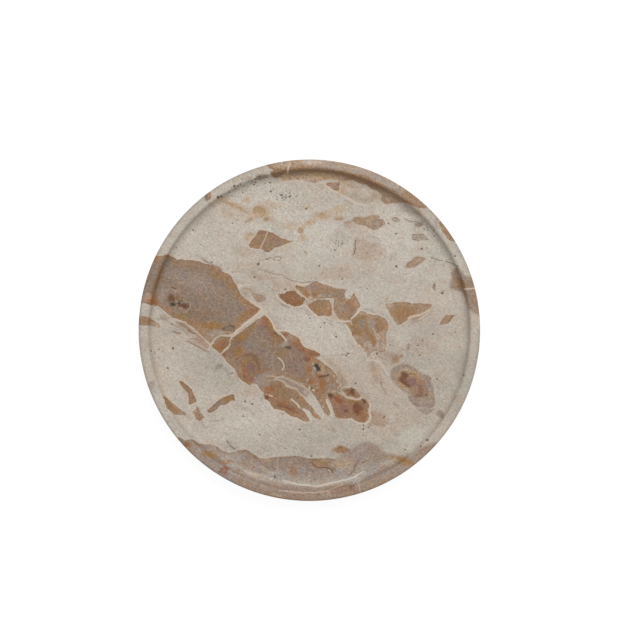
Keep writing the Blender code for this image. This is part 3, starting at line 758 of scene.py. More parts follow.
        -60, 3, 4), (0.45, -103, -6, 3, 3), (0.4, 77, 120, 3, 2, -40), (0.4, -26, 44, 4, 2), (0.45, 17, -74,
        2, 4), (0.35, -14, -107, 6, 2), (0.5, 17.4, -72.6, 1.4, 3)),
    *stains(Tone.PALE_MAUVE, (0.5, -16, -47.6, 5, 1.4, -25), (0.6, -82, -6, 6, 3), (0.5, 26, -49, 4, 2)),
    *patches(Tone.MAUVE, (0.7, 1, 21, -53, 23, -51, 29, -51.6, 33, -57, 36, -60.6, 30, -59.6, 25, -55.5)),
    *stains(Tone.OCHRE,
        (0.25, -43, 106, 5, 3), (0.25, -45, 105, 4, 3, 0), (0.22, 6, 101, 5, 2.4, 10), (0.22, 26, 98, 4,
        1.6, 0), (0.3, -36.4, 97.6, 2.2, 1.6, 0, 0.4), (0.22, -7.6, 88, 2, 3, 20), (0.18, 25, 108, 3, 2,
        40)),
    *stains(Tone.GREY, (0.35, -64, 36, 5, 1.4, -30), (0.3, -70, 42, 4, 1.4, -30)),
)

CLAST_MARKS = (
    *streaks(Tone.STRAW, (0.7, 2, -24, 132.5, -12, 133.5, 0, 133, 12, 133.5, 26, 132)),
    *patches(Tone.PALE_MAUVE,
        (0.45, 3, -122, 55, -100, 50, -88, 40, -95, 30, -112, 40, -126, 48), (0.85, 1.2, 88.5, -59.5, 94,
        -59.5, 101, -59, 106, -58, 109.5, -62, 108.5, -66, 102, -66.5, 95, -67, 91, -64.5), (0.5, 2, -110,
        -97, -100, -98, -84, -102, -78, -106, -72, -112, -66, -126, -80, -124, -98, -110)),
    # The first umber streak runs down the left inner wall: partly the clast's brown, partly painted shade on
    # that wall.
    *streaks(Tone.UMBER,
        (0.65, 2.4, -122, 66, -127, 61, -131, 52, -134, 42, -137, 34), (0.45, 1.2, -84, -113, -78, -115.5,
        -72, -118)),
    *patches(Tone.OCHRE,
        (0.55, 2, -92, 54.5, -84, 55.5, -79, 50, -71, 46, -66, 38, -70, 36, -77, 42, -85, 47), (0.55, 1.5,
        66, -111.5, 78, -111, 86, -112.5, 92, -115.5, 94, -119, 85, -118.5, 77, -117.2, 71, -115)),
    *stains(Tone.PLUM, (0.35, -14, -138, 16, 2), (0.35, -12, -146, 12, 2), (0.35, 26, -142, 8, 2, 8)),
    *stains(Tone.OCHRE,
        (0.5, -57, 13, 8, 3.5, 35), (0.75, -88, 3.5, 9, 3.2), (0.45, -75, 4, 8, 3), (0.8, -60, -5.5, 6, 3.5,
        35), (0.6, 41, 3, 5, 12, 25, 0.3), (0.65, -88, -109.5, 7.5, 2.8, -10), (0.6, 11, -116.5, 9, 2.4,
        -8)),
    *stains(Tone.OLIVE, (0.75, -111, 12.5, 7, 3)),
    *stains(Tone.UMBER, (0.3, -95, 13, 12, 6, 10), (0.35, -13, -17.5, 6, 2, -15)),
    *stains(Tone.TAN, (0.4, -95, 0, 6, 4, -40)),
    *stains(Tone.GREY,
        (0.75, -81, -3, 6, 3.2, 10), (0.5, 23, -52.5, 6, 1.4, 15), (0.9, -69, -112, 9, 6, 5), (0.8, -64,
        -122, 8, 5, -20), (0.7, 34, -124, 12, 4), (0.6, 52, -122, 10, 5, 10)),
    *streaks(Tone.CREAM, (0.7, 2.8, -0.2, 34, 0.6, 30, 2, 26.5)),
    *patches(Tone.RUST,
        (0.55, 1, -144, 24, -140, 23, -136, 22.5, -134, 24, -135.5, 29, -137.5, 34, -139.5, 36.5, -141, 33,
        -143, 28.5), (0.2, 1.2, -140, 66, -126, 66, -127, 60, -137, 57), (0.5, 1.6, -17, -9, -12, -8, -9,
        -9, -7, -13, -4, -16, 2, -18, 8, -20.5, 8, -22, 2, -23, -3, -21, -9, -17, -15, -14)),
    *patches(Tone.TAN, (0.7, 1, -26, -1.5, -21, -1.5, -14, -4.5, -11, -6, -12, -8, -16, -7.5, -20, -8)),
    *streaks(Tone.OCHRE, (0.6, 3.4, -35, 7.5, -33.5, 1, -32, -3)),
    *stains(Tone.MAUVE, (0.5, -24, -37, 8, 3), (0.5, 40, -140, 10, 3, 10)),
    *streaks(Tone.SLATE, (0.5, 1.6, -71, -20.5, -68.5, -25, -66, -29, -64.5, -34, -62.5, -40)),
    *stains(Tone.BROWN,
        (0.9, -53.5, -33.5, 8.5, 11, -15, 0.15), (0.5, 46.5, 5.5, 6, 9, 10, 0.3), (0.2, -57, -109, 8, 4,
        -15)),
    *stains(Tone.PALE_MAUVE,
        (0.8, -45.5, -46.5, 6, 5.5, 20, 0.4), (0.8, 54.5, 5, 3.2, 6, -15, 0.4), (0.8, -112, -73, 3.2, 2)),
    *patches(Tone.BROWN,
        (0.6, 1.8, -31, -1, -26, -3.5, -21.5, -8.5, -21.5, -13, -24.5, -14.5, -29, -12, -33, -5), (0.6, 2,
        -33, -18.5, -28, -17, -19, -18, -18, -22, -25, -23, -32, -23), (0.75, 2, -4, -27, 2, -28, 12, -27,
        19, -34.5, 23, -38.5, 24, -43, 20, -47, 14, -52, 6, -51, 0, -52, -3, -46, -4, -38), (0.75, 1.5, 74,
        22.5, 84, 21.5, 93, 21.5, 98, 20, 92, 15, 86, 11, 80, 6.5, 77.5, 8, 74.5, 15)),
    *stains(Tone.RED_RUST, (0.6, -2, -19.5, 7, 2, -15), (0.8, -75, -21.3, 2.3, 2.2, 30, 0.4)),
    *patches(Tone.MAUVE,
        (0.7, 1.5, 6, 34, 16, 33, 25, 33.5, 30.5, 34, 30.5, 29, 26, 27, 21, 28.5, 10, 29.5), (0.75, 1.5,
        -90, -72, -84, -66, -78, -61, -75, -66, -81, -70, -86, -73), (0.6, 1.5, -46, -112, -30, -113, -8,
        -112, -3, -118, -12, -122, -28, -123, -38, -122)),
    *patches(Tone.PINK,
        (0.9, 1.5, 58, -4, 62, -3, 67, -2, 68, -18, 60, -19, 57, -15, 59.5, -10), (0.7, 1.5, 48, -10, 53,
        -9, 57, -16, 55, -20, 51, -24, 48, -17)),
    *streaks(Tone.GREY, (0.8, 1.6, -51, -117, -43, -120.5, -39, -124, -33, -125.3, -27.5, -124)),
    *patches(Tone.STRAW,
        (0.55, 1.5, 75, -39, 78, -36, 82, -33.8, 88, -33.8, 94, -36, 99, -40, 101, -44, 98, -52, 91, -55,
        84, -52.5, 78, -49, 75, -44)),
    *patches(Tone.BROWN,
        (0.8, 1.5, 80, -46, 80, -41, 82, -37.3, 87, -36.5, 93, -37.5, 98, -41, 102, -45, 103, -52, 104, -56,
        98, -60, 93, -58.5, 91, -54, 88, -51, 84, -48.5)),
    *patches(Tone.DEEP_RUST,
        (0.9, 1, 79, -45, 79.8, -41.5, 81.2, -38, 84, -36.6, 87, -38.5, 87, -41, 84.5, -42.5, 86.5, -46.5,
        88.5, -50, 85.5, -49.3, 82, -47), (0.88, 1, 38, -71, 39, -66, 41.5, -62.8, 43, -63.5, 44, -65.5,
        46.5, -66, 48, -68.7, 46.3, -71, 44.5, -74, 42.5, -75.3, 40, -73.8)),
    *streaks(Tone.DEEP_RUST,
        (0.65, 2.2, -26.5, -65.8, -20.5, -66.3, -18, -68.5, -14.5, -70.5), (0.6, 1.9, 3, -118.7, 8, -120,
        15, -120.3, 22, -123)),
    # Both umber patches follow the inner wall at the back and the back right: partly the stone's brown band,
    # partly painted shade where that wall turns from the lamp.
    *patches(Tone.UMBER,
        (0.46, 1, -33.5, 138, -32, 134.5, -28.5, 134, -24.5, 136, -20, 138.7, -8, 139, 4, 139, 14, 138, 22,
        137, 31, 135.2, 41, 132.2, 50, 128.6, 58, 124, 64, 122, 70, 119, 76, 114, 84, 110.5, 90, 108, 91,
        111, 84, 116, 76, 122, 66, 127, 54, 133.5, 42, 137.5, 30, 140, 14, 142.5, 0, 142.8, -14, 142.5, -22,
        141.3, -28, 140.5), (0.5, 1, 129.5, 54, 133.5, 49, 136, 40, 138, 33, 140, 24, 142.5, 17.5, 140.3,
        17.5, 137.3, 25, 134.7, 33, 132.5, 40, 130, 47, 127, 54)),
    *stains(Tone.STRAW,
        (0.5, -20, 134, 6, 2), (0.4, 5, 132.5, 8, 1.6), (0.5, 30, -117, 9, 4), (0.4, 37.5, 28.5, 2, 1),
        (0.5, 10.5, -61, 1.2, 0.8), (0.4, 52, 97, 5, 2.4)),
    *patches(Tone.GREY,
        (0.6, 2, -40, -126, -24, -127, -8, -128, 8, -130, 26, -129, 40, -126, 44, -131, 28, -135, 0, -136,
        -30, -134.5, -44, -131)),
    *stains(Tone.RUST,
        (0.5, -19, -65, 6, 2.5, -10), (0.45, -73, -116, 6, 2.2, 10), (0.7, -49, 16, 4.5, 3, 20), (0.65, -40,
        7.5, 4.5, 4.5), (0.45, -41, -36, 5.5, 2.6, 15), (0.5, 0, -34.5, 3, 2.6), (0.75, 3, -45.3, 5, 2.6,
        -5), (0.6, 9, -42, 3, 4.5, 20), (0.7, 11.5, -48.5, 2.6, 3.5, 20), (0.7, -0.8, 30.8, 1.6, 2), (0.8,
        -35.3, -51, 4, 2.6, -15), (0.5, -27.5, -63.5, 3, 2), (0.55, 9, -53.5, 3, 2, -20), (0.65, 47.3,
        -77.3, 1.7, 2, 0, 0.6), (0.4, 46, -73, 2, 2.5, 0, 0.6), (0.5, -16, 133.6, 1.6, 0.9), (0.75, -107.5,
        -101, 3.5, 2.4, -35), (0.3, -14, -125, 3.4, 4.4), (0.7, 37.5, -138.5, 3, 2.6)),
    *stains(Tone.DARK,
        (0.65, -75, 1, 1.6, 0.9, 30, 0.4), (0.6, -71, 3.6, 2.2, 0.9, 20, 0.4), (0.6, -67.5, 3.5, 1.8, 0.9,
        -35, 0.4), (1, -115.2, 23.4, 1.8, 2.2), (0.6, -113.5, 26, 2.2, 1.5), (0.5, -124.6, 25.6, 1.3, 1.2),
        (0.8, -30.5, -2.2, 1.2, 1.8, 0, 0.4), (0.6, -28.3, -4.2, 1.2, 0.8, -30, 0.4), (0.6, -22.8, -8, 1.8,
        0.8, -40, 0.4), (0.4, -25, 31, 3, 0.8, -15), (0.65, -12, 38, 1.6, 1.2, 0, 0.4), (0.7, 97.8, -57.6,
        1.2, 1), (0.85, 103, -56.8, 1.1, 0.9, 0, 0.4), (0.4, -9.8, -59, 1, 1), (0.6, 47, -68.8, 1, 0.9), (1,
        18.4, -57.5, 2.2, 2.4, -25, 0.3), (0.95, 47.7, -60.6, 1.2, 1, 0, 0.3), (0.85, 49.2, -62.8, 1, 1.4,
        30, 0.35), (0.5, 38, -53.5, 1.8, 2.4, -20, 0.4), (0.5, 34.8, -57, 1, 0.8), (0.4, -31.8, 80.8, 1.1,
        0.8), (0.5, 4, 131.4, 1, 0.8), (0.4, -90.8, 117, 1, 3.2, 15), (0.5, -79.3, -124.5, 1.6, 0.8, -20)),
    *stains(Tone.UMBER,
        (0.6, -69, 0.5, 4, 2, 10), (0.9, -115.6, 27.8, 2.4, 3.2, 20, 0.4), (0.6, -99.3, 23, 1.4, 3, 10,
        0.4), (0.4, -70, 26.5, 1.5, 1.5, 0, 0.4), (0.8, 5.5, -21, 3.6, 1.4, -12, 0.4), (0.4, -6, -42.5, 3,
        3), (0.7, -24, 29, 2, 3.4, 30), (0.5, 61, 0.5, 1.6, 2.6, 10), (0.5, 51, -17, 1.6, 3, 30, 0.6), (0.8,
        90.7, -38.3, 2.2, 1.2), (0.8, 95.2, -57.6, 1.6, 1, 0, 0.4), (0.5, -108, -53.5, 1.6, 3, -40), (0.5,
        -73, -64, 3, 0.9, 35), (0.4, -20, -73, 4, 0.9, -40), (0.6, 5.3, -114, 1.8, 0.8), (0.75, 27, -103.5,
        2.2, 0.9, -25), (0.35, 97, -107, 3, 1.5)),
    *stains(Tone.DEEP_RUST,
        (1, -121.2, 28.2, 3.2, 4, 0, 0.35), (1, -110.3, 21.2, 4.6, 2.2, -8, 0.4), (0.6, -111.3, 38.3, 1.2,
        1, 0, 0.4), (0.5, -38, 4.5, 1.6, 1.4, 0, 0.4), (0.85, -57.3, -41.2, 1.4, 1.2, 0, 0.4), (0.5, -1,
        -46.6, 2, 0.9), (0.95, -38, -59.3, 1.5, 1.5, 0, 0.3), (0.9, 32.8, -71.2, 1.9, 1.5, 0, 0.35)),
    *stains(Tone.HOLLOW,
        (0.95, -120.8, 22.9, 3, 2, 0, 0.35), (1, 6.1, -30.7, 2.3, 1.9, 20, 0.25), (1, 7.9, -33.4, 2.8, 2.1,
        -50, 0.25), (0.8, 7, -35.2, 1.2, 0.8, 0, 0.4)),
    *stains(Tone.OLIVE,
        (0.6, -109, 27.5, 4, 1.8, -20), (0.8, -53, -26.5, 5.5, 3.5), (0.3, -27, -7.5, 4.5, 3.5, -45), (0.45,
        -25, -20.5, 5, 2.2), (0.75, -7.5, 37.3, 4, 1.8, -10), (0.55, 3, 32, 2, 3.5)),
    *streaks(Tone.DARK,
        (0.9, 1.8, -21.3, -14.3, -19, -15, -16.4, -15.4), (0.5, 1.1, -16.3, -22, -14, -25, -12.8, -26),
        (0.35, 1.9, 10, -41, 13, -40.9, 16, -40)),
    *streaks(Tone.CREAM, (0.6, 1.3, 15.8, -141, 17, -143, 18.5, -146), (0.5, 1.2, -31, -143, -25, -146.5)),
    *stains(Tone.PINK,
        (0.5, -112.5, 39.5, 4, 3), (0.6, -23, -14, 1.8, 1.6), (0.7, 70, 22, 4, 1.6, 10), (0.6, 12.5, -68,
        1.1, 1.3), (0.5, 96, 62, 5, 2, 25), (0.6, -136, 5, 4, 2, -20), (0.5, -16, -116.8, 2.6, 0.7, -10)),
    *stains(Tone.SLATE,
        (0.25, 5, -35.5, 3.5, 3.5), (0.65, 2.5, -48.5, 3, 1.2), (0.6, 16, -73, 2, 1.8), (0.45, 31.5, -52.5,
        2.4, 1.6, -30)),
    *stains(Tone.PLUM,
        (0.85, -51.8, -33.5, 4.2, 4.6, 0, 0.4), (0.9, 90.5, -45.5, 4.2, 4.2, -30, 0.35), (0.9, 98, -53, 2.6,
        5.5, 5), (0.55, -40, 86, 4, 1.6, 10), (0.4, -32, 83.5, 4, 2, -15), (0.4, 2, -123, 3, 1.4)),
    *stains(Tone.OCHRE,
        (0.5, -52, 1, 5, 3, 35), (0.75, -62, -19, 3.6, 5, -10), (0.35, -43, -34, 4, 3), (0.65, -3.5, 34,
        3.2, 2.4, -35), (0.35, 6, 19, 5, 4), (0.6, -72, -60, 4.2, 2, 25), (0.6, 83, -115, 5, 1.5, -8), (0.3,
        82, 15, 9, 7)),
    *stains(Tone.RED_RUST,
        (0.6, -53, -42.5, 4.5, 2.6, 15, 0.4), (0.6, -33.5, -3.5, 1.8, 2.4, 20), (0.75, -21, -4, 2.4, 1.6,
        -25), (0.75, 25.5, -61, 4.5, 2.8, -30), (0.25, 100, -104, 5, 3, 10), (0.5, 8, -144, 1.8, 1.4)),
    *streaks(Tone.UMBER,
        (0.7, 2, -33.5, -16, -31, -17.8, -30, -17.6), (0.6, 1.4, -37, 145, -33.5, 143.5, -30.8, 141.3)),
    *patches(Tone.GREY,
        (0.85, 0.8, -21, -8.2, -18.8, -9, -18.8, -12.5, -20.6, -14, -22.2, -13), (0.75, 0.8, 113.8, 90.5,
        115, 92, 120, 88.6, 117, 86.5)),
    *patches(Tone.RUST, (0.6, 1.5, -4, -22, 2, -22, 3, -26, 0, -29, -3.5, -27)),
    *stains(Tone.BROWN,
        (0.5, 120.5, 9.3, 3.5, 2, 30), (0.5, 107, -42.8, 1.3, 1.2, 0, 0.4), (0.4, -101, -100, 5, 2.5, -20)),
    *streaks(Tone.GREY, (0.6, 1.1, 10, 32.4, 14, 31.5, 19, 30.3), (0.55, 1.2, 5.5, 28.4, 10, 29.2, 15, 29)),
    *streaks(Tone.ROSE_CREAM, (0.6, 1.1, -17, -22, -15.5, -24.5)),
    *stains(Tone.CREAM,
        (0.8, 4, -32.8, 0.9, 0.9), (0.7, 7.4, -37.2, 1.4, 0.7, 20), (0.85, -33.8, -58, 1.4, 0.7, -30, 0.4),
        (0.95, -76.4, -123.7, 1.1, 0.9, 0, 0.4), (0.7, 18.2, -123, 1.4, 0.6, -30)),
    *stains(Tone.ROSE_CREAM,
        (0.4, 60, 130.5, 6, 1, -20), (0.85, -1.6, -43.8, 0.9, 1.3, 0, 0.4), (0.6, 16.5, -43.5, 1, 1.3),
        (0.7, 21.8, -41, 1.1, 1), (0.6, 6.3, -47.8, 1, 0.8), (0.6, 9.3, 30.8, 1.3, 1.2), (0.5, 48, 14.8, 4,
        1.2, -10), (0.6, -38.5, -57, 1.5, 0.7), (0.5, 5, -72.5, 2, 1, -45, 0.6), (0.6, 41.4, -55, 0.7, 0.9),
        (0.35, 76, 113.2, 4, 1)),
    *stains(Tone.MAUVE,
        (0.4, -103.5, -58, 2, 5, 20), (0.6, 42.5, -57.3, 3, 1.8), (0.6, -29, 77.5, 4.5, 3, -10), (0.5, -71,
        -21, 3, 9), (0.4, -36, 76, 9, 6), (0.35, -14, 28, 7, 4)),
    *streaks(Tone.PLUM,
        (0.5, 1.2, 89, -61, 92, -64.5, 95.5, -66.8), (0.5, 1.5, 43, -115, 40.5, -118, 39.5, -123)),
    *stains(Tone.PALE_MAUVE,
        (0.6, -4, -78, 3, 1.6, -30), (0.6, -38, -40.5, 8, 3), (0.5, 129, 50, 4, 7), (0.5, 144, 28, 4, 10)),
    *patches(Tone.RED_RUST,
        (0.8, 0.8, -79.5, -123.5, -77, -121, -73.5, -119.8, -70, -121.5, -72, -124.5, -74, -127, -77,
        -125.3)),
    *patches(Tone.PINK,
        (0.75, 1.5, -14, 143.5, 0, 144.5, 16, 143.5, 34, 140, 50, 135.5, 66, 128.5, 80, 120, 84, 124, 70,
        138, 40, 152, 0, 158, -14, 158)),
    *patches(Tone.GREY, (0.25, 1.5, 60, 122, 66, 126, 76, 120, 84, 113, 80, 112, 70, 113, 64, 115)),
    # Painted light: this pale patch lightens the front cove, from 133 to 141 mm out, where it faces the lamp.
    *patches(Tone.PALE,
        (0.18, 2, -60, -118.7, -40, -126.8, -20, -131.5, 0, -133, 20, -131.5, 40, -126.8, 50, -124, 50,
        -131.5, 40, -134.7, 20, -139.1, 0, -140.5, -20, -139.1, -40, -134.7, -60, -127)),
    *patches(Tone.BROWN,
        (0.35, 1, -64, -128, -40, -136.5, -20, -141, 0, -142.5, 20, -141, 40, -136.5, 62, -127.5, 68, -134,
        40, -148, 0, -153, -40, -148, -66, -136)),
    *stains(Tone.PALE, (0.8, 2, 148, 10, 2), (0.5, 42, -132, 5, 1.6, 20)),
    *patches(Tone.PLUM, (0.3, 1.5, 14, -137, 34, -134.5, 36, -141, 16, -143.5)),
    *streaks(Tone.MAUVE, (0.5, 4, -120, 62, -109, 60, -97, 57.5, -85, 53.5)),
    *stains(Tone.UMBER,
        (0.35, -105, 18, 5, 4), (0.35, -113, 37, 5, 6), (0.4, -121, 24, 3, 3), (0.35, 42, -61, 9, 3, -5)),
    *streaks(Tone.UMBER, (0.6, 3, -36, 3, -31, -3, -25, -10)),
    *stains(Tone.DEEP_RUST,
        (0.6, -2, -26, 3, 2, -40), (0.9, 38.6, -55, 1.4, 1.4), (0.6, 42, -68.5, 3.4, 4.4)),
    *stains(Tone.DARK,
        (0.8, -38.2, -59.5, 1.3, 1.3), (0.9, 1.4, -52, 1.3, 1.2), (0.6, 36.6, -137.6, 1.2, 1.4), (0.5, 39.4,
        -136.4, 1, 1), (0.4, 126, 9, 3, 1.4, 20)),
    *stains(Tone.TAN,
        (0.6, 17.5, 22, 1.6, 3), (0.6, 26, 19, 3.6, 5), (0.6, 44.5, -8.5, 4.5, 3.5, -40), (0.4, 65, 120, 6,
        4, -30), (0.5, 8, -120, 7, 2)),
    *stains(Tone.OCHRE, (0.3, -14.5, -125, 3, 4)),
    *stains(Tone.ROSE_CREAM, (0.5, -24, 146.5, 10, 2.4, 10)),
    *stains(Tone.GREY, (0.5, 108, -51, 1.6, 5), (0.45, 70, 130, 14, 3, -29)),
    # Painted shade: this soft umber ring at 149.3 mm darkens the rim's outer edge, over the clasts too.
    Streak(Tone.UMBER, 0.3, 1.5, arc((0.0, 0.0), (149.3, 149.3), 0, 360, 36)),
    *patches(Tone.MAUVE, (0.35, 3, -128, 24, -118, 16, -106, 9, -98, 6, -98, 12, -110, 16, -122, 26)),
    *stains(Tone.MAUVE,
        (0.4, -84, -8, 5, 5), (0.3, 42, 2, 5, 8), (0.4, -52, 12, 7, 3, 40), (0.4, -76, 46, 9, 4, -38), (0.4,
        40, 16, 4, 4)),
    *stains(Tone.PALE_MAUVE,
        (0.5, -131.5, 32, 4, 7), (0.4, 140, 42, 4, 8), (0.35, 4, 36.5, 13, 3), (0.5, 60, 93, 7, 4)),
    *stains(Tone.GREY, (0.35, 36, 140.5, 8, 2.4, -15)),
    *streaks(Tone.ROSE_CREAM,
        (0.5, 3, -24, 131.6, -10, 132.6, 4, 132.6, 20, 131.8, 32, 130.4), (0.5, 2.4, -26, 131.4, -18,
        131.8), (0.5, 2.4, 22, 131.6, 32, 130.2)),
    *stains(Tone.DARK, (0.4, -121.2, 28.2, 2.6, 3.2), (0.4, -110.3, 21.2, 4.4, 2.2, -8)),
    *patches(Tone.PLUM,
        (0.22, 3, -72, -16, -62, -8, -50, -12, -40, -14, -33, -18, -34, -28, -42, -34, -48, -44, -57, -44,
        -64, -34)),
    *stains(Tone.UMBER,
        (0.4, -66, -10, 6, 4, 40), (0.35, -68, -20, 4, 5), (0.4, -68, -4, 6, 3, 35), (0.4, -52, -36, 5, 5),
        (0.3, -44, -28, 4, 4)),
    *streaks(Tone.TAN, (0.6, 2.6, 60, 12.6, 65, 9.4, 67.4, 4, 66.8, -2, 66.4, -10)),
    *streaks(Tone.PALE_MAUVE, (0.45, 2, -36, -112.6, -20, -112, -6, -112.2)),
    *stains(Tone.TAN, (0.4, 63.6, -10, 3, 8), (0.5, 65, -17.6, 3, 2)),
    *streaks(Tone.DEEP_RUST, (0.8, 1.8, 82, -37.4, 80.6, -41, 80.8, -45, 83.6, -47.4, 87.6, -49.4)),
    *stains(Tone.PALE_MAUVE,
        (0.4, -131, 29, 3, 6), (0.5, 80, 120, 6, 3, -40), (0.5, 128, 50, 4, 7), (0.4, 0, 40.5, 6, 2), (0.4,
        -136, 32, 2.4, 4), (0.4, -144.5, 25, 3, 4), (0.3, 47, -6, 6, 5, -50), (0.5, -88, -7, 4, 4), (0.5,
        -16, -39.6, 8, 1.8, -10), (0.6, -40, -47.4, 4, 3), (0.35, 48, -137, 8, 3, 20), (0.55, 19.6, -35.5,
        3.6, 4, -50), (0.5, 46.4, 5.4, 3, 3.6), (0.4, 30, 20, 5, 5), (0.4, 30, 33.5, 5, 1.6), (0.45, -30,
        -37, 4, 2), (0.35, 66, 9, 2, 3), (0.5, -85, -6, 3, 3), (0.5, -97, -72, 3, 3)),
    *stains(Tone.ROSE_CREAM,
        (0.5, -24, 144.6, 8, 2.4, 10), (0.5, -37, -114, 6, 1.6), (0.5, 14, -114.4, 3, 1.4), (0.4, -142, 30,
        3, 3)),
    *streaks(Tone.STRAW, (0.35, 3, -10, 136.4, 4, 136.8, 18, 136, 28, 134.2)),
    *stains(Tone.TAN, (0.4, 128, 40, 4, 4), (0.5, -82, 30, 5, 3, -50)),
    *stains(Tone.MAUVE,
        (0.5, -56, 1, 6, 2.4, 40), (0.4, -72, -9, 3, 4), (0.35, -16, -64, 4, 5, 40), (0.35, -8, -72, 4, 3,
        -40), (0.3, -120, 16, 4, 3, -30), (0.4, 10, 24, 3.6, 3)),
    *stains(Tone.UMBER,
        (0.35, -40, 0, 5, 4), (0.35, -64, -8, 4, 3, 35), (0.4, -32, -8, 4, 4, -40), (0.5, 32, -56, 3, 2,
        -30), (0.3, -70, -60, 4, 3)),
    *stains(Tone.PLUM, (0.4, 96, -48, 4, 5, 20)),
    *stains(Tone.RUST,
        (0.35, -57, -33, 3, 5), (0.3, -24, -7, 4, 3, -40), (0.6, 18.6, -59.6, 2.4, 1.2, 10, 0.4), (0.4,
        -113, 38.6, 2.6, 1.6)),
    *stains(Tone.OCHRE,
        (0.3, -64, -22, 3, 5), (0.3, 78.4, -41, 1.6, 5), (0.45, 42.4, -3.6, 4, 2, 30), (0.3, 137, 30, 3,
        3)),
    *stains(Tone.HOLLOW,
        (0.9, -120.6, 22.6, 2, 1.5, -20, 0.3), (0.8, -115.3, 23.6, 1.1, 1.3, 0, 0.3), (0.8, 1.2, -51.9, 0.9,
        0.9, 0, 0.3), (0.75, 5.8, -30.6, 1.7, 1.3, 25, 0.25), (0.6, 6.6, -36.8, 0.7, 0.6, 0, 0.3), (0.6,
        3.2, -35.6, 0.5, 0.4, 0, 0.3), (0.6, 2.8, -31.4, 0.5, 0.4, 0, 0.3)),
    *stains(Tone.SAGE,
        (0.75, 4.6, -33.4, 1.5, 0.8, -60), (0.7, 3.4, -29.8, 0.8, 0.6), (0.6, 2.6, -36.2, 0.8, 1)),
    *stains(Tone.PALE_MAUVE, (0.6, 128, 51, 4.4, 6, -20), (0.5, -82, -6, 3, 3), (0.5, 62, 96.6, 5, 2)),
    *stains(Tone.STRAW,
        (0.4, 86, -36, 3, 2), (0.4, 11, -30, 2, 2), (0.5, 11.6, -36, 2.4, 3), (0.5, 79.6, -39.6, 1.4, 1.4),
        (0.35, -21, -12, 3, 2)),
    *stains(Tone.RUST,
        (0.5, -60, -30, 2, 5), (0.45, -57.5, -37, 3, 3), (0.3, 57, -12, 2, 3), (0.2, 11, -120, 3, 2), (0.25,
        -73, -126, 3, 2)),
    *stains(Tone.OLIVE, (0.4, -55, -26, 4, 2), (0.35, -23, -16.6, 5, 2)),
    *stains(Tone.DARK, (0.6, -51.6, -31.6, 0.8, 0.8, 0, 0.4), (0.6, 37.5, -53.2, 1.5, 2, -15, 0.4)),
    *stains(Tone.UMBER,
        (0.55, -53, -45, 4, 2), (0.45, -70, 1, 3, 1.4, -30), (0.5, -66.6, 0, 2.6, 1.4, -30), (0.5, -67, -6,
        1.6, 3, -20), (0.4, -19, 24, 3, 2)),
    *stains(Tone.MAUVE, (0.4, -73, 6, 3, 2)),
    *stains(Tone.ROSE_CREAM, (0.45, 41, -6, 2.4, 2), (0.5, 41, 24, 2, 3)),
    *stains(Tone.PALE,
        (0.45, -51, -126, 7, 2.6, -12), (0.35, -30, -126.4, 5, 2), (0.35, -86, -101, 5, 2, -15), (0.3, 70,
        -116, 8, 3, 10)),
    *stains(Tone.CREAM, (0.9, -74.6, -123.2, 0.8, 0.6, -20), (0.8, -72.6, -119.4, 0.5, 0.6)),
    *stains(Tone.DEEP_RUST,
        (0.8, -39, -59.2, 1.8, 1.5, 0, 0.3), (0.5, 18.4, -58.4, 1.8, 1.4, 0, 0.3), (0.6, 48.6, -62, 1.2, 2,
        30, 0.3), (0.7, 32.8, -71, 1.8, 1.4, 0, 0.3), (0.5, -46.2, -27.4, 1.2, 3, 25), (0.55, 82.4, -38.6,
        2, 1.4, 0, 0.3), (0.5, 80.4, -44.6, 1.4, 2.2, 0, 0.3), (0.4, 85.6, -48, 2, 1.2, -30, 0.3)),
    *stains(Tone.SLATE,
        (0.45, -124, 60, 6, 3, -30), (0.4, -115, 36, 4, 3), (0.5, -70, 0, 4, 1.6, -30), (0.55, -67, -10,
        1.6, 5, -10), (0.5, 46, 5.4, 2.6, 3.6)),
    *stains(Tone.MAUVE,
        (0.4, -79, -12, 3, 4), (0.5, -61, -32, 2, 5), (0.4, -1, -18, 4, 3), (0.35, -17, -57, 10, 4, -38),
        (0.4, -6, -44, 5, 2.4, -30), (0.5, 31, -59.6, 2.4, 2), (0.4, -68, -28, 4, 3, -45), (0.4, 4, -41, 3,
        2), (0.4, -20, -40, 9, 2.4, -8), (0.4, -120, 14, 4, 3)),
    *streaks(Tone.OCHRE,
        (0.45, 2.2, 40, -3, 38.6, 4, 41, 9, 46, 11.4, 51, 9.6), (0.4, 2.2, 51, 0, 54, -5, 57, -11)),
    *streaks(Tone.PALE_MAUVE, (0.5, 2.2, 52, 8, 54.5, 4.4, 57.5, 0, 59, -3.4)),
    *stains(Tone.PALE_MAUVE,
        (0.5, 65, -6, 3, 6), (0.5, -37, -114, 5, 2), (0.4, 17, -114, 5, 2), (0.5, -37, -138, 6, 2, -10),
        (0.6, -82, -6, 6, 3), (0.3, 23, 18, 2, 5), (0.45, -40, -46, 7, 3.4), (0.3, 6, -44, 3, 3), (0.5, 21,
        -49, 3, 2), (0.4, -1, -71, 3, 5, 30), (0.5, -59, 5, 6, 1.8, 40), (0.5, -44, 8, 3, 3), (0.4, -62,
        -34, 2, 4), (0.35, -95, 40, 15, 6, -20), (0.3, -128, 38, 3, 5), (0.35, -128, 22, 4, 3), (0.35, 4,
        38, 4, 2), (0.4, 46, -10, 4, 4, -50), (0.4, 64, -10, 3, 4), (0.4, -62, -124, 5, 2.4), (0.35, -9,
        -53, 2.4, 2, -40)),
    *stains(Tone.PLUM, (0.5, -49, -24, 2, 4, -30), (0.5, 31, -69, 4, 4), (0.5, -52, -22, 5, 1.4)),
    *stains(Tone.SLATE,
        (0.4, -71, 2, 4, 2, -20), (0.4, -128, 60, 3, 5, -20), (0.3, -96, 22, 4, 4), (0.3, -72, 22, 4, 4)),
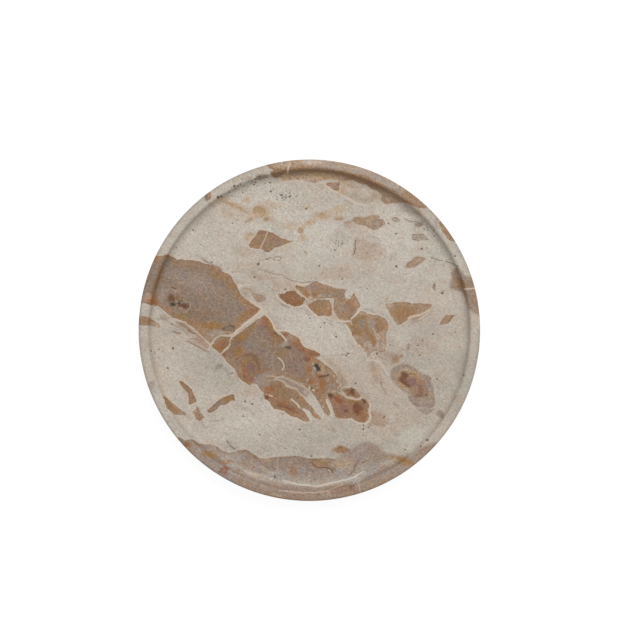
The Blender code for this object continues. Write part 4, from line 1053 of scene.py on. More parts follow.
    *stains(Tone.RUST, (0.45, 41.6, -70.6, 3, 3.4), (0.3, 47, -74, 2, 3), (0.35, -19, -69, 5, 1.6, -30)),
    *stains(Tone.UMBER,
        (0.5, -64, -4.6, 3, 1.6, 35), (0.4, -74, -18.6, 2, 5, -35), (0.35, -20, 26, 4, 3), (0.3, -112, 14,
        3, 2)),
    *stains(Tone.STRAW, (0.35, 10, -35, 3, 3), (0.25, -14, -132, 5, 2)),
    *stains(Tone.OCHRE, (0.3, -136, 30, 3, 4)),
    *streaks(Tone.UMBER,
        (0.6, 1.3, -59, -0.6, -62, -3.2, -65, -6.2, -66.6, -9.4, -67.4, -12.6), (0.6, 1.5, -65.4, 4, -67.6,
        2.4, -70, -0.2, -71.4, -1.6)),
    *stains(Tone.OLIVE, (0.45, -25, -54, 9, 4, -38), (0.35, -52, -38, 3, 4)),
    *stains(Tone.PLUM, (0.4, 30, -70, 6, 5), (0.45, -52, -33, 3.4, 3.6), (0.3, -14, -30, 9, 9)),
    *stains(Tone.MAUVE,
        (0.4, 25, 26, 5, 3), (0.4, 35, 14, 3, 3), (0.3, 40, 8, 2, 4), (0.4, -45, -10, 9, 8)),
    *stains(Tone.HOLLOW,
        (1, 5.9, -30.7, 1.8, 1.4, 20, 0.25), (1, 7.9, -33.7, 2.3, 1.5, -55, 0.25), (0.7, 6.6, -36.6, 0.7,
        0.6, 0, 0.3), (0.7, 3, -35.4, 0.6, 0.5, 0, 0.3)),
    *stains(Tone.DEEP_RUST,
        (0.6, 18.2, -58.4, 1.8, 1.6, 0, 0.3), (0.5, 37.4, -54, 1.6, 2.2, -15, 0.3), (0.5, 41.6, -68.6, 3.2,
        4, 0, 0.3), (0.6, 32.4, -71, 1.8, 1.4, 0, 0.3)),
    *stains(Tone.RUST, (0.4, 25, -61, 4, 2.4, -30), (0.35, 12, -46, 2.4, 4, 20)),
    *stains(Tone.DARK,
        (0.6, -76, 2, 2.4, 0.7, 25, 0.35), (0.6, -70, 4.4, 3, 0.6, -35, 0.35), (0.5, -66.5, 2.4, 2.2, 0.6,
        -40, 0.35), (0.6, -30.6, -3, 1.1, 1, 0, 0.3), (0.5, -28.4, -1.4, 0.7, 0.5, 0, 0.3), (0.5, 18, -57.8,
        1.5, 1.2, 20, 0.3), (0.5, 31.8, -71, 1.5, 1.1, 0, 0.3), (0.5, 48, -61.6, 1.7, 1, -35, 0.3), (0.45,
        37.4, -53.4, 1.4, 1.8, -15, 0.3), (0.3, 42, -71, 2.4, 2, 0, 0.3)),
    *stains(Tone.SLATE, (0.4, -47, -11, 5, 4, 30), (0.4, -52, -14, 4, 3)),
    *stains(Tone.ROSE_CREAM, (0.6, -70, -1.4, 1.8, 0.8, -20, 0.35), (0.5, -73.6, -1.6, 1.6, 0.7, 10, 0.35)),
    *stains(Tone.PLUM, (0.5, -41, 2, 2.6, 1.6, 30), (0.45, -38, -6, 3, 2, -50), (0.35, -46, -31, 2, 4, 10)),
    *stains(Tone.TAN, (0.4, 48, -8, 5, 4), (0.35, 16, -72, 5, 3)),
    *streaks(Tone.DARK,
        (0.55, 1.8, -55, -21.6, -50, -22, -47, -25, -45.4, -29, -45, -33), (0.4, 1.3, -50.5, -21.5, -47.5,
        -24.5, -45.3, -29)),
    *streaks(Tone.PALE_MAUVE, (0.6, 3, 51.5, 9, 54.5, 5, 57.5, 0, 60, -5)),
    *streaks(Tone.GREY, (0.4, 1.6, 53, 8, 56, 3, 58.4, -1.6)),
    *stains(Tone.DEEP_RUST, (0.5, 41.6, -67.4, 3.6, 4, 0, 0.25), (0.4, 83, -39, 2, 2, 0, 0.3)),
)

VEINS = (
    *veins(Tone.CREAM,
        (2.4, -43, 17, -50, 9.7, -57, 5.8), (1.4, -51, 25.5, -47, 22.5, -42.5, 18.5), (1.5, -40, 14.5,
        -35.5, 11, -33, 6.5, -30.5, 1, -27.5, -1.5, -23.5, -5.5, -20.5, -8.5), (1.2, -29, -0.2, -22, -0.2,
        -17, -1.8, -12, -4.8), (1, -8.5, -7, -5.5, -13, -2, -15.5, 3, -17.3, 9, -20)),
    *veins(Tone.ROSE_CREAM,
        (0.95, -66, -3.3, -69, -4.2, -73, -4.1, -78, -4.8, -82, -6.6, -85.3, -9.8, -88, -14.5), (0.95,
        -66.3, -3.6, -68.6, -5.8, -69.9, -9, -70.3, -12.8, -72, -16, -75, -18.5, -79.3, -21), (1.1, -36, 87,
        -37.5, 83, -40, 78, -42, 74.5, -43.5, 71.5), (1.5, -14.5, 37.3, -10.5, 34.8, -7, 32, -3.5, 29, -1,
        27)),
    *veins(Tone.CREAM,
        (1.4, -29.3, 31.5, -26.5, 27, -22.5, 23.5, -18.5, 21.3, -13, 20.4, -6, 20.8), (1.5, -4, 22.5, -0.5,
        18.5, 3.5, 14.5, 8, 12, 13.5, 12.1, 18, 10.5), (1.6, 44.8, 19.5, 42, 15.5, 39.5, 13.2, 37.5, 11.3),
        (1.2, 26, 8, 30, 7.8, 36, 8), (1.5, 32, 4, 36, -2.5, 40, -9.3, 44, -13.8, 47, -17, 48, -20), (1, 52,
        15.5, 56, 14, 58, 14.3), (0.6, 55.5, 2, 57.5, -0.5, 59, -3, 61, -4.3), (1.5, 13.5, 127.2, 20, 122.7,
        25, 121), (1.4, 28.5, 119, 34, 116, 39, 113.5, 45, 111, 52, 108.8), (1, -12, 41, -6, 40.6, 1, 41.2),
        (1, 8, 42.7, 14, 42, 22, 39.5, 30, 37.3), (1.4, 88, 10.8, 95, 13.2, 101, 15.5, 105, 17.8), (1, 97,
        10, 103.5, 13.5), (1, 69, 26.5, 71.5, 29.5)),
    *veins(Tone.ROSE_CREAM,
        (1.3, 19, 26.5, 20.7, 21, 20.8, 16, 21.3, 12.5, 23.5, 9.5), (1, 37, 5, 36, 8), (0.9, 29.4, -54.6,
        31, -57, 33.4, -59, 37, -60.4, 43, -60.8, 46, -60)),
    *veins(Tone.PALE, (2, -4, -70.5, -1.5, -73, 0.5, -77)),
    *veins(Tone.CREAM,
        (1.5, -15.3, -61, -12.5, -64, -9.5, -67.5), (1.4, 15, -61.6, 15.8, -63.6, 17.1, -66, 17.9, -69,
        18.6, -72, 20.2, -75.6), (1.2, 53.5, -66, 53.3, -72, 53.8, -77, 51.5, -81.3, 47, -82.8, 42, -80.8,
        37.5, -78.7), (1.2, -39.8, -61.5, -36, -64.3, -33.7, -67.5, -30.5, -70.3, -24.5, -71.5), (1.1,
        -20.5, -74, -16, -77.5, -9, -78.3, -4, -81.5), (1.4, 137, 36, 140, 36.4, 144, 36.8), (1.6, -17,
        145.5, -18, 142.5, -18.6, 140), (0.8, -88, -14.5, -89, -19), (0.8, 60, -25, 63, -28.5, 67, -32),
        (1.2, 0, -51, 2.5, -52.5, 3.5, -53), (1.1, -27.2, -24.7, -24.6, -26.7, -23.3, -29.3, -22.9, -32.6,
        -24, -34.2), (0.8, -36, -57.4, -34.5, -58.3, -33.4, -58), (1.9, -57, 5.8, -60, 2.9, -63, -0.2,
        -66.2, -3.6)),
    *veins(Tone.SLATE,
        (0.9, 107.5, 64, 110, 63.6, 112.5, 62.2, 116.5, 61.8), (0.9, 120, 60.6, 124, 59.3, 127.5, 57.2, 131,
        56), (0.9, -95.5, 63.3, -92, 60.8, -87, 58.8, -82, 56.8, -78.5, 54.8, -77.5, 53), (0.7, 84, 98, 90,
        96.2, 96, 95.6, 100.5, 92.6), (0.5, -22, 21.6, -16, 20, -10, 19.4), (0.6, 93, 92, 97, 91.4, 100,
        92.6)),
    *veins(Tone.PALE_MAUVE,
        (0.9, -29, -18, -31.5, -20.5, -33, -25, -33, -29.5, -31, -33), (0.8, -17.4, -20.8, -15.4, -25.4),
        (0.9, -36, -18.8, -37.6, -20.5, -37.6, -23), (0.5, 57.4, -1.4, 59, -4.4, 60.6, -6.6)),
    *veins(Tone.DARK,
        (0.8, -31.5, 0, -30, -3, -28, -5), (0.7, -121.4, 37.4, -118, 36.6, -114.5, 34), (1, 10, -41, 13,
        -40.9, 16.4, -39.3), (1, 46.5, -59.8, 48, -61.5, 49.2, -63.4), (0.7, -72.5, -97.8, -71, -99.5),
        (0.6, -70, -101.5, -66, -104.5), (0.5, 40.4, 79, 40, 75, 40.3, 71.5), (0.5, 39.8, 70, 39, 66.8),
        (0.5, -38.8, 62, -37, 63.6, -36.6, 62, -35, 64)),
    *veins(Tone.MAUVE,
        (0.9, -116.9, 7.8, -112, 4.6, -108.5, 1.9, -104, -0.8, -100.6, -2.6), (0.8, -114, 7.8, -107, 3,
        -101.6, -3), (1.1, -107, -9.6, -102, -12.6, -97, -15.8, -92, -18), (0.8, -104.6, -7.6, -100, -8,
        -95, -9.4), (0.7, -45, 54, -38, 51.5, -31, 50, -24, 48.2, -19, 45, -10, 43, 0, 42.3, 8, 42.8), (0.5,
        23.5, 79, 23, 75), (0.5, 26, 78.5, 25.5, 73.5), (0.5, 29, 77.5, 28.4, 74)),
    # The sixth rose-cream vein runs along the front rim's inner edge: a painted highlight where that edge
    # faces the lamp.
    *veins(Tone.ROSE_CREAM,
        (0.45, -118.4, 34.5, -118.2, 30.5, -117.6, 26.6, -115.9, 22.6, -114, 20.1, -112, 18.7), (0.4,
        -115.9, 24.6, -114, 26.9, -111.5, 27.4, -109.5, 26, -108.5, 24.1), (0.5, -104.4, 23.1, -105.1, 20.1,
        -106.6, 18.2, -108, 16.2, -109.5, 17.5), (0.4, -121, 35.8, -117, 35.2, -114.5, 33, -112.5, 30),
        (0.4, -127.5, 29, -126.5, 33, -123.5, 36), (0.7, -26, -140.8, -15, -142.2, -3, -142.6, 8, -142,
        15.5, -140.8, 30, -135.4), (0.7, 41.5, -130, 43.5, -136, 45, -142)),
    # The first pale vein follows the front cove: partly pale calcite, partly painted light where the cove
    # faces the lamp.
    *veins(Tone.PALE,
        (1.2, -22, -132.6, -14, -134.9, -6, -136, 8, -136.8, 23, -133.6, 38, -129.8, 47, -125), (1.1, 51,
        -27, 57, -26.5, 62, -29.5, 67, -36, 69, -39), (0.9, 27.5, 119.5, 32, 115.5, 38, 112, 45, 109.6, 53,
        109)),
    *veins(Tone.DEEP_RUST,
        (0.9, 2, -116.5, 5.5, -119.5, 9, -121.3, 14, -121, 18, -121.8, 21, -125), (0.7, -28, -66.5, -22,
        -67.5, -16, -70.6), (0.8, 84.4, -38.6, 85, -41, 84.4, -43), (0.7, 22, -59.4, 25, -60.4, 27.6,
        -62.8)),
    *veins(Tone.PLUM, (0.9, 43, -114.5, 41, -119, 39.5, -123, 36, -128)),
    *veins(Tone.UMBER,
        (1.6, -58, -22.2, -54, -21, -50, -22, -47, -25, -45.3, -29, -44.8, -32), (0.8, -120, -1.2, -117.4,
        -2.1, -115, -2.8), (0.8, -107.6, -0.2, -104.6, -1.8, -102, -3.6), (0.6, 41.5, -10, 43.5, -13, 44.5,
        -16), (0.6, 45.5, -11.5, 47, -15, 48.5, -19)),
    *veins(Tone.MAUVE,
        (0.6, 60, -22, 64, -25, 69, -27), (0.6, 66, -21, 70, -22.5, 72.5, -22.8), (0.6, 82, -29, 85, -27),
        (0.6, 88, -20, 90.5, -22), (0.6, 62.5, -46.5, 64, -51, 66.5, -56), (0.6, -32.5, 62.6, -29, 64.4,
        -25.5, 63.8, -26, 61.8, -30, 61.4, -32.5, 62.4), (0.6, 88, -60, 91, -64.5, 95, -67.5, 99, -66.5,
        103, -67.3, 107.5, -67.8, 110, -63.5), (0.5, 95, -69, 100, -72, 105, -72.5, 108.5, -69.5), (0.5,
        108.6, -49, 108.4, -54, 110.4, -58)),
    *veins(Tone.TAN,
        (0.9, -49.5, 106, -47, 108.6, -43, 108.6, -40, 106, -39.6, 102.4, -42.5, 99.8), (0.8, -10, 88.5,
        -8.5, 90, -6.4, 89.6, -5.8, 87.4, -8, 85.8, -9.8, 87)),
    *veins(Tone.PALE_MAUVE,
        (0.5, 60, -28, 64, -33, 67, -39), (0.6, 10, -22.5, 20, -22.6, 30, -21.8, 36, -22.6)),
    *veins(Tone.ROSE_CREAM,
        (0.5, -53, -124.5, -52, -121, -48.5, -118.5, -45.5, -119.5, -40, -121.5, -36, -125, -31, -125,
        -28.3, -123, -28, -117, -27.8, -111.5), (0.8, -36.5, -40.8, -31, -40.9, -26.6, -41.2, -20, -42.5,
        -12, -46.4, -4.2, -50.4, -0.3, -53.7), (0.8, -24, -44.5, -17.4, -48.4, -12.1, -52.4, -6.8, -57.6,
        -3, -61), (0.7, 15, -27.6, 20, -33, 24, -38.6), (0.6, 24, -30, 30, -39.6, 34.4, -47)),
)

PORES = pores(
    (-117, 72.7, 0.9, 0.6), (-103, 88.5, 1.1, 0.6), (-97, 88, 0.7, 0.4), (-96, 75, 0.9, 0.6),
    (-106, 75, 0.8, 0.3), (-85.5, 60, 1.1, 0.8), (-86, 65, 0.8, 0.35), (-98, 94, 0.8, 0.3),
    (-64, 97, 1.0, 0.6), (-67.5, 94, 1.0, 0.5), (-59, 121, 1.0, 0.7), (-71, 86, 0.8, 0.35),
    (-66, 126.5, 1.5, 0.8), (-62.5, 126.5, 1.0, 0.7), (-80, 116.5, 1.5, 0.6), (-77, 117, 1.2, 0.5),
    (-64.3, 75.6, 0.9, 0.55), (-64, 73, 0.8, 0.5), (-55, 70.7, 1.0, 0.6), (-45.2, 58, 1.4, 0.75),
    (-37.7, 62.3, 1.0, 0.8), (-34.5, 64, 1.0, 0.7), (-40, 60.8, 0.8, 0.4), (-48, 47, 1.4, 0.6),
    (-68, 51, 1.0, 0.6), (-34, 122, 1.3, 0.75), (-29, 119, 0.9, 0.5), (-32, 118, 0.8, 0.4),
    (-24, 119, 0.9, 0.55), (-24, 117, 0.9, 0.6), (-21.6, 117.8, 0.8, 0.6), (-20.3, 116.8, 0.9, 0.65),
    (-17, 117, 1.1, 0.8), (-15, 115.6, 0.7, 0.5), (-13, 120, 0.9, 0.55), (-11, 118, 0.9, 0.5),
    (-25, 115, 0.8, 0.5), (-49, 128, 1.2, 0.45), (-43, 128, 0.8, 0.35), (-39, 129, 0.9, 0.5),
    (-34.5, 130, 1.0, 0.6), (-3, 107, 1.1, 0.75), (-26.5, 108, 0.8, 0.45), (-30, 106.8, 0.8, 0.35),
    (10, 80, 0.9, 0.4), (22.3, 70.6, 1.1, 0.6), (24, 79, 0.8, 0.4), (29.5, 76.5, 1.0, 0.45),
    (8.5, 56.8, 1.3, 0.45), (29, 45, 1.0, 0.6), (26, 45, 0.7, 0.35), (1.5, 45, 0.9, 0.35),
    (-21, 36, 1.1, 0.7), (45, 37.8, 0.9, 0.5), (51, 67.5, 1.0, 0.5), (65, 74.6, 0.9, 0.55),
    (76.5, 85, 1.2, 0.6), (76, 55.8, 1.3, 0.85), (99, 71.5, 1.2, 0.75), (100.3, 70.2, 0.8, 0.5),
    (103, 72, 0.9, 0.5), (71.5, 62, 0.9, 0.4), (75, 62, 0.9, 0.45), (54.5, 57.3, 0.8, 0.4),
    (118, 57, 1.0, 0.6), (110.5, 60.5, 0.8, 0.4), (128.3, 65.5, 1.0, 0.8), (125, 50.5, 0.9, 0.5),
    (117, 32.5, 1.3, 1.0), (118.7, 35, 0.8, 0.6), (65, 104.5, 0.9, 0.45), (70, 94, 1.1, 0.6),
    (51, 36.5, 0.9, 0.5), (84, 49, 0.9, 0.4), (-1, 13.3, 1.1, 0.35), (0, 10.6, 0.9, 0.6),
    (13.5, 6.3, 1.4, 0.25), (10, 2.8, 1.1, 0.35), (9.3, 1, 0.8, 0.4), (24, -5.2, 1.1, 0.8),
    (30, 0.5, 0.8, 0.35), (20, -8, 0.9, 0.35), (32.5, -22.2, 1.2, 0.6), (34.7, -20, 1.1, 0.65),
    (29, -22, 1.1, 0.45), (36.7, -25.2, 0.9, 0.45), (20, -21, 1.2, 0.4), (32, -31.5, 1.0, 0.4),
    (41, -47.3, 1.2, 0.7), (56.3, -47.7, 0.9, 0.4), (63.3, -46.5, 1.0, 0.6), (71, -13.3, 1.2, 0.25),
    (75, 2.4, 0.9, 0.4), (97, -22, 1.1, 0.6), (91, -22.5, 0.9, 0.4), (86, -22, 0.8, 0.35),
    (108.8, -3.3, 1.4, 0.3), (128, -1.8, 1.0, 0.5), (99.5, -8.6, 1.1, 0.45), (103, -12, 0.9, 0.35),
    (95, -13, 1.3, 0.25), (124, -15, 0.9, 0.35), (125.5, -23.5, 0.9, 0.35), (112.3, -43, 1.2, 0.5),
    (135.5, -39.5, 1.0, 0.3), (103.4, -96.5, 1.2, 0.8), (79, -80.3, 0.8, 0.5), (76, -66.5, 1.0, 0.5),
    (84, -105, 1.1, 0.6), (47.3, -116.7, 1.1, 0.7), (2, -111, 1.1, 0.6), (-30.5, -129.5, 1.2, 0.7),
    (-120.5, -15.9, 1.2, 0.85), (-119.5, -18, 0.8, 0.5), (-121.8, -9, 0.9, 0.35), (-132, -17, 1.0, 0.5),
    (-139, -18.5, 0.9, 0.45), (-136, -19.5, 0.8, 0.45), (-132.5, -23.5, 0.9, 0.4), (-124.6, -33.2, 1.2, 0.65),
    (-94, -24.3, 1.0, 0.45), (-89, -18.7, 1.0, 0.5), (-121, 5.2, 1.1, 0.4), (-58.2, -75.8, 1.2, 0.65),
    (-50, -65, 1.4, 0.5), (-56.5, -63, 1.5, 0.3), (-68.3, -38, 1.1, 0.45), (-69, -42, 0.9, 0.3),
    (-8.3, -87.5, 1.4, 0.5), (16.7, -87.3, 0.9, 0.4), (47.2, -83.8, 1.2, 0.5), (47.2, -87, 1.2, 0.4),
    (47.2, -90, 0.9, 0.35), (47, -93, 0.9, 0.35), (1.6, -51.8, 1.1, 0.95), (64.8, -77.5, 1.1, 0.55),
    (55.3, -75.3, 0.9, 0.5), (58, -72, 0.9, 0.35), (61, -74, 0.9, 0.35), (66, -76, 0.9, 0.4),
    (69, -79, 1.0, 0.35), (54, -83.5, 1.0, 0.4), (59.3, -20.8, 1.3, 0.5), (115, -67, 0.9, 0.4),
    (52, -85.5, 1.2, 0.45), (-5.3, -113.5, 0.7, 0.3), (30, -98, 0.8, 0.35), (37, -101.5, 1.0, 0.4),
    (98, -102, 1.0, 0.4), (-21, -104, 1.1, 0.3), (-44, -92, 1.2, 0.3), (36, -97, 0.7, 0.3),
)

PORE_SWARMS = (
    Swarm(-46, 130, 19, 6, 18, 24),
    Swarm(-23, 119, 14, 5.5, -14, 20),
    Swarm(-66, 124, 9, 3, 32, 7),
    Swarm(104, 90, 9, 3, -40, 7),
    Swarm(-8, 132.5, 16, 1.5, 0, 8),
)


@dataclass(frozen=True)
class BuriedClasts:
    """How clasts that lie wholly inside the block are drawn by lot. Lengths in millimetres."""

    count: int = 16
    share_out: tuple[float, float] = (0.1, 1.1)
    half_length: tuple[float, float] = (12, 34)
    half_width: tuple[float, float] = (5, 13)
    turn: tuple[float, float] = (-0.9, 0.1)
    depth: tuple[float, float] = (9, 17)
    half_thickness: tuple[float, float] = (5, 8)
    ragged: Layer = Layer(0.3, 11.0, 30)
    border_width: float = 2.5
    reach: float = 4.0
    tones: tuple[tuple[Tone, Tone], ...] = (
        (Tone.MAUVE, Tone.BROWN),
        (Tone.BROWN, Tone.TAN),
        (Tone.PALE_MAUVE, Tone.GREY),
    )

    def draw(self, random: np.random.Generator, index: int, points: Floats, x: Floats, y: Floats) -> Floats:
        """Draws one clast.

        Args:
            random: Where its size and place come from.
            index: The clast's number.
            points: The points in the block, one per row, whose third column is the depth.
            x: Where each point's layer comes out on top, across.
            y: The same, up.

        Returns:
            How far each point lies inside the clast.
        """
        bearing = random.uniform(0, math.tau)
        out = DRAWING_RADIUS * math.sqrt(random.uniform(*self.share_out))
        length, width = random.uniform(*self.half_length), random.uniform(*self.half_width)
        oval = Oval(
            out * math.cos(bearing), out * math.sin(bearing), length, width, random.uniform(*self.turn)
        )
        middle, thick = random.uniform(*self.depth), random.uniform(*self.half_thickness)
        along, across = oval.within(x, y)
        depth = points[:, 2]
        ragged = self.ragged.weight * value_noise(points, self.ragged.size, self.ragged.seed + index)
        inward = (1 - np.sqrt(along**2 + across**2 + ((depth - middle) / thick) ** 2) + ragged) * width
        return np.where(depth > BLOCK_FROM, inward, OUTSIDE)


@dataclass(frozen=True)
class PoreLots:
    """How the pores that aren't placed one by one are drawn by lot, and how any pore looks.

    Radii, and the deepest pore's depth, are in millimetres. A pore of no depth shows at the least
    share of its radius, and the deepest at all of it.
    """

    buried: int = 70
    swarm_spread: float = 0.5
    swarm_radius: tuple[float, float] = (0.65, 0.95)
    swarm_depth: tuple[float, float] = (0.3, 0.75)
    buried_radius: tuple[float, float] = (0.7, 1.3)
    buried_depth: tuple[float, float] = (0.3, 0.7)
    deepest: float = 0.6
    least_shown: float = 0.5


@dataclass(frozen=True)
class StoneFields:
    """What the figure gives at each vertex: colours, distances, how crisp an outline is, how deep a pore."""

    ground: Floats
    body: Floats
    line: Floats
    edge: Floats
    crisp: Floats
    side: Floats
    reach: Floats
    pore: Floats
    depth: Floats


@dataclass(frozen=True)
class BrecciaFigure:
    """The figure of the stone, worked out at any point of the block.

    The block is cut from a bed whose layers lean, so what shows on top moves sideways with depth.
    Clasts that lie wholly inside the block come out only on its wall and its underside.
    """

    wander: tuple[Layers, Layers] = (
        (Layer(0.55, 6.0, 1), Layer(0.275, 2.2, 2)),
        (Layer(0.55, 6.0, 3), Layer(0.275, 2.2, 4)),
    )
    lean: tuple[float, float] = (0.35, -0.25)
    lean_change: tuple[Layers, Layers] = ((Layer(0.5, 45.0, 5),), (Layer(0.5, 45.0, 6),))
    lean_doubles_at: float = 25.0
    mottle: Layers = (Layer(0.65, 5.0, 11), Layer(0.5, 1.9, 12))
    clouds: Layers = (Layer(0.6, 34.0, 13), Layer(0.5, 12.0, 14))
    blush: Layers = (Layer(0.6, 27.0, 15), Layer(0.5, 9.0, 16))
    cloud_strength: float = 0.45
    cloud_climb: tuple[float, float] = (0.05, 0.9)
    border_climb: tuple[float, float] = (0.35, 1.15)
    border_ragged: float = 0.45
    body_streaks: Layers = (Layer(0.05, 7.0, 17),)
    body_mottle: float = 0.045
    growth: float = 0.25
    growth_turn: float = 2.4
    clast_margin: float = 14.0
    vein_margin: float = 4.0
    buried: BuriedClasts = BuriedClasts()
    lots: PoreLots = PoreLots()
    seed: int = 7

    def fields(self, points: Floats) -> StoneFields:
        """Works out the figure.

        Args:
            points: x and y in drawing millimetres, and the depth under the shown surface, one per row.

        Returns:
            The fields for each point.
        """
        x, y = self._led_back(points)
        mottle = layered(points, self.mottle)
        ground = self._ground(points, x, y, mottle)
        edge, crisp, body = self._clasts(points, x, y, mottle)
        side, reach, line = self._veins(x, y)
        return StoneFields(ground, body, line, edge, crisp, side, reach, *self._pores(points, x, y))

    def _led_back(self, points: Floats) -> tuple[Floats, Floats]:
        """Returns where each point's layer comes out on top, with a slight wander to every outline."""
        depth = points[:, 2]
        travel = depth + depth**2 / self.lean_doubles_at
        places = []
        for axis, lean in enumerate(self.lean):
            shift = layered(points, self.wander[axis])
            slope = lean + layered(points * (1, 1, 0), self.lean_change[axis])
            places.append(points[:, axis] + shift - slope * travel)
        return places[0], places[1]

    def _ground(self, points: Floats, x: Floats, y: Floats, mottle: Floats) -> Floats:
        """Returns the colour of the pale ground that binds the clasts."""
        clouds, blush = layered(points, self.clouds), layered(points, self.blush)
        ground = np.tile(tone_rgb(Tone.BEIGE), (len(points), 1))
        for tone, amount in (
            (Tone.PALE, clouds),
            (Tone.PINK, blush),
            (Tone.SAGE, -blush),
            (Tone.GREY, -clouds),
        ):
            share = (self.cloud_strength * smoothstep(*self.cloud_climb, amount))[:, None]
            ground += (tone_rgb(tone) - ground) * share
        for mark in GROUND_MARKS:
            mark.paint(ground, x, y, mottle)
        return ground

    def _clasts(
        self, points: Floats, x: Floats, y: Floats, mottle: Floats
    ) -> tuple[Floats, Floats, Floats]:
        """Returns how far inside a clast each point lies, how crisp that clast is, and its colour."""
        inside = np.full(len(x), OUTSIDE)
        crisp = np.ones(len(x))
        body = np.tile(tone_rgb(Tone.MAUVE), (len(x), 1))

        def lay(clast: Clast, rows: Rows, inward: Floats) -> None:
            """Lays one clast over those before it, where it reaches further in than they do."""
            own = inward > inside[rows]
            rows, inward = rows[own], inward[own]
            inside[rows] = inward
            crisp[rows] = SHARP / clast.blend
            border = inward / clast.border_width + self.border_ragged * mottle[rows]
            share = smoothstep(*self.border_climb, border)[:, None]
            body[rows] = tone_rgb(clast.border) * (1 - share) + tone_rgb(clast.core) * share

        for index, clast in enumerate(CLASTS):
            rows = close_rows(x, y, clast.outline, self.clast_margin)
            near = nearness(x[rows], y[rows], clast.outline, True)
            # Some clasts widen downwards and others narrow, each by an amount of its own.
            growth = self.growth * math.sin(self.growth_turn * index + 1)
            lay(clast, rows, near.inward + points[rows, 2] * growth)
        random = np.random.default_rng(self.seed)
        for index in range(self.buried.count):
            inward = self.buried.draw(random, index, points, x, y)
            rows = np.flatnonzero(inward > -self.buried.reach)
            core, border = self.buried.tones[index % len(self.buried.tones)]
            clast = Clast(f"buried_{index}", core, border, self.buried.border_width, ())
            lay(clast, rows, inward[rows])
        body *= (1 + layered(points, self.body_streaks) + self.body_mottle * mottle)[:, None]
        for mark in CLAST_MARKS:
            mark.paint(body, x, y, mottle)
        return inside * crisp, crisp, body

    def _veins(self, x: Floats, y: Floats) -> tuple[Floats, Floats, Floats]:
        """Returns the side and the distance to the nearest vein, both in half widths, and its colour."""
        side = np.full(len(x), OFF_VEIN)
        reach = np.full(len(x), OFF_VEIN)
        line = np.tile(tone_rgb(Tone.CREAM), (len(x), 1))
        for vein in VEINS:
            course, half = rounded(vein.course), vein.width / 2
            rows = close_rows(x, y, course, self.vein_margin)
            near = nearness(x[rows], y[rows], course, False)
            own = near.gap / half < reach[rows]
            rows = rows[own]
            reach[rows] = near.gap[own] / half
            side[rows] = near.side[own] / half
            line[rows] = tone_rgb(vein.tone)
        return side, reach, line

    def _pores(self, points: Floats, x: Floats, y: Floats) -> tuple[Floats, Floats]:
        """Returns the distance to the nearest open pore, in its radii, and how deep the stone is sunk."""
        lots, least, below = self.lots, self.lots.least_shown, points[:, 2]
        pore = np.full(len(x), OFF_PORE)
        depth = np.zeros(len(x))
        top, outer = np.flatnonzero(below < TOP_SKIN), np.flatnonzero(below > BLOCK_FROM)
        random = np.random.default_rng(self.seed + 1)
        hidden = points[random.choice(outer, lots.buried)] if len(outer) else ()
        drawn = [(top, (pit.x, pit.y, 0), pit.radius, pit.depth) for pit in PORES]
        for swarm in PORE_SWARMS:
            turn = math.radians(swarm.turn)
            spread = random.normal(0, lots.swarm_spread, (swarm.count, 2))
            for along, across in spread * (swarm.length, swarm.width):
                px = swarm.x + along * math.cos(turn) - across * math.sin(turn)
                py = swarm.y + along * math.sin(turn) + across * math.cos(turn)
                radius, deep = random.uniform(*lots.swarm_radius), random.uniform(*lots.swarm_depth)
                drawn.append((top, (px, py, 0), radius, deep))
        for centre in hidden:
            radius, deep = random.uniform(*lots.buried_radius), random.uniform(*lots.buried_depth)
            drawn.append((outer, centre, radius, deep))
        layers = np.column_stack([x, y, np.where(below < TOP_SKIN, 0, below)])
        for rows, centre, radius, deep in drawn:
            place = layers if rows is top else points
            rows = rows[(np.abs(place[rows] - centre) < OFF_PORE * radius).all(axis=1)]
            away = np.linalg.norm(place[rows] - centre, axis=1) / radius
            pore[rows] = np.minimum(pore[rows], away / (least + (1 - least) * deep))
            depth[rows] = np.maximum(depth[rows], lots.deepest * deep * np.exp(-(away**3)))
        return pore, depth


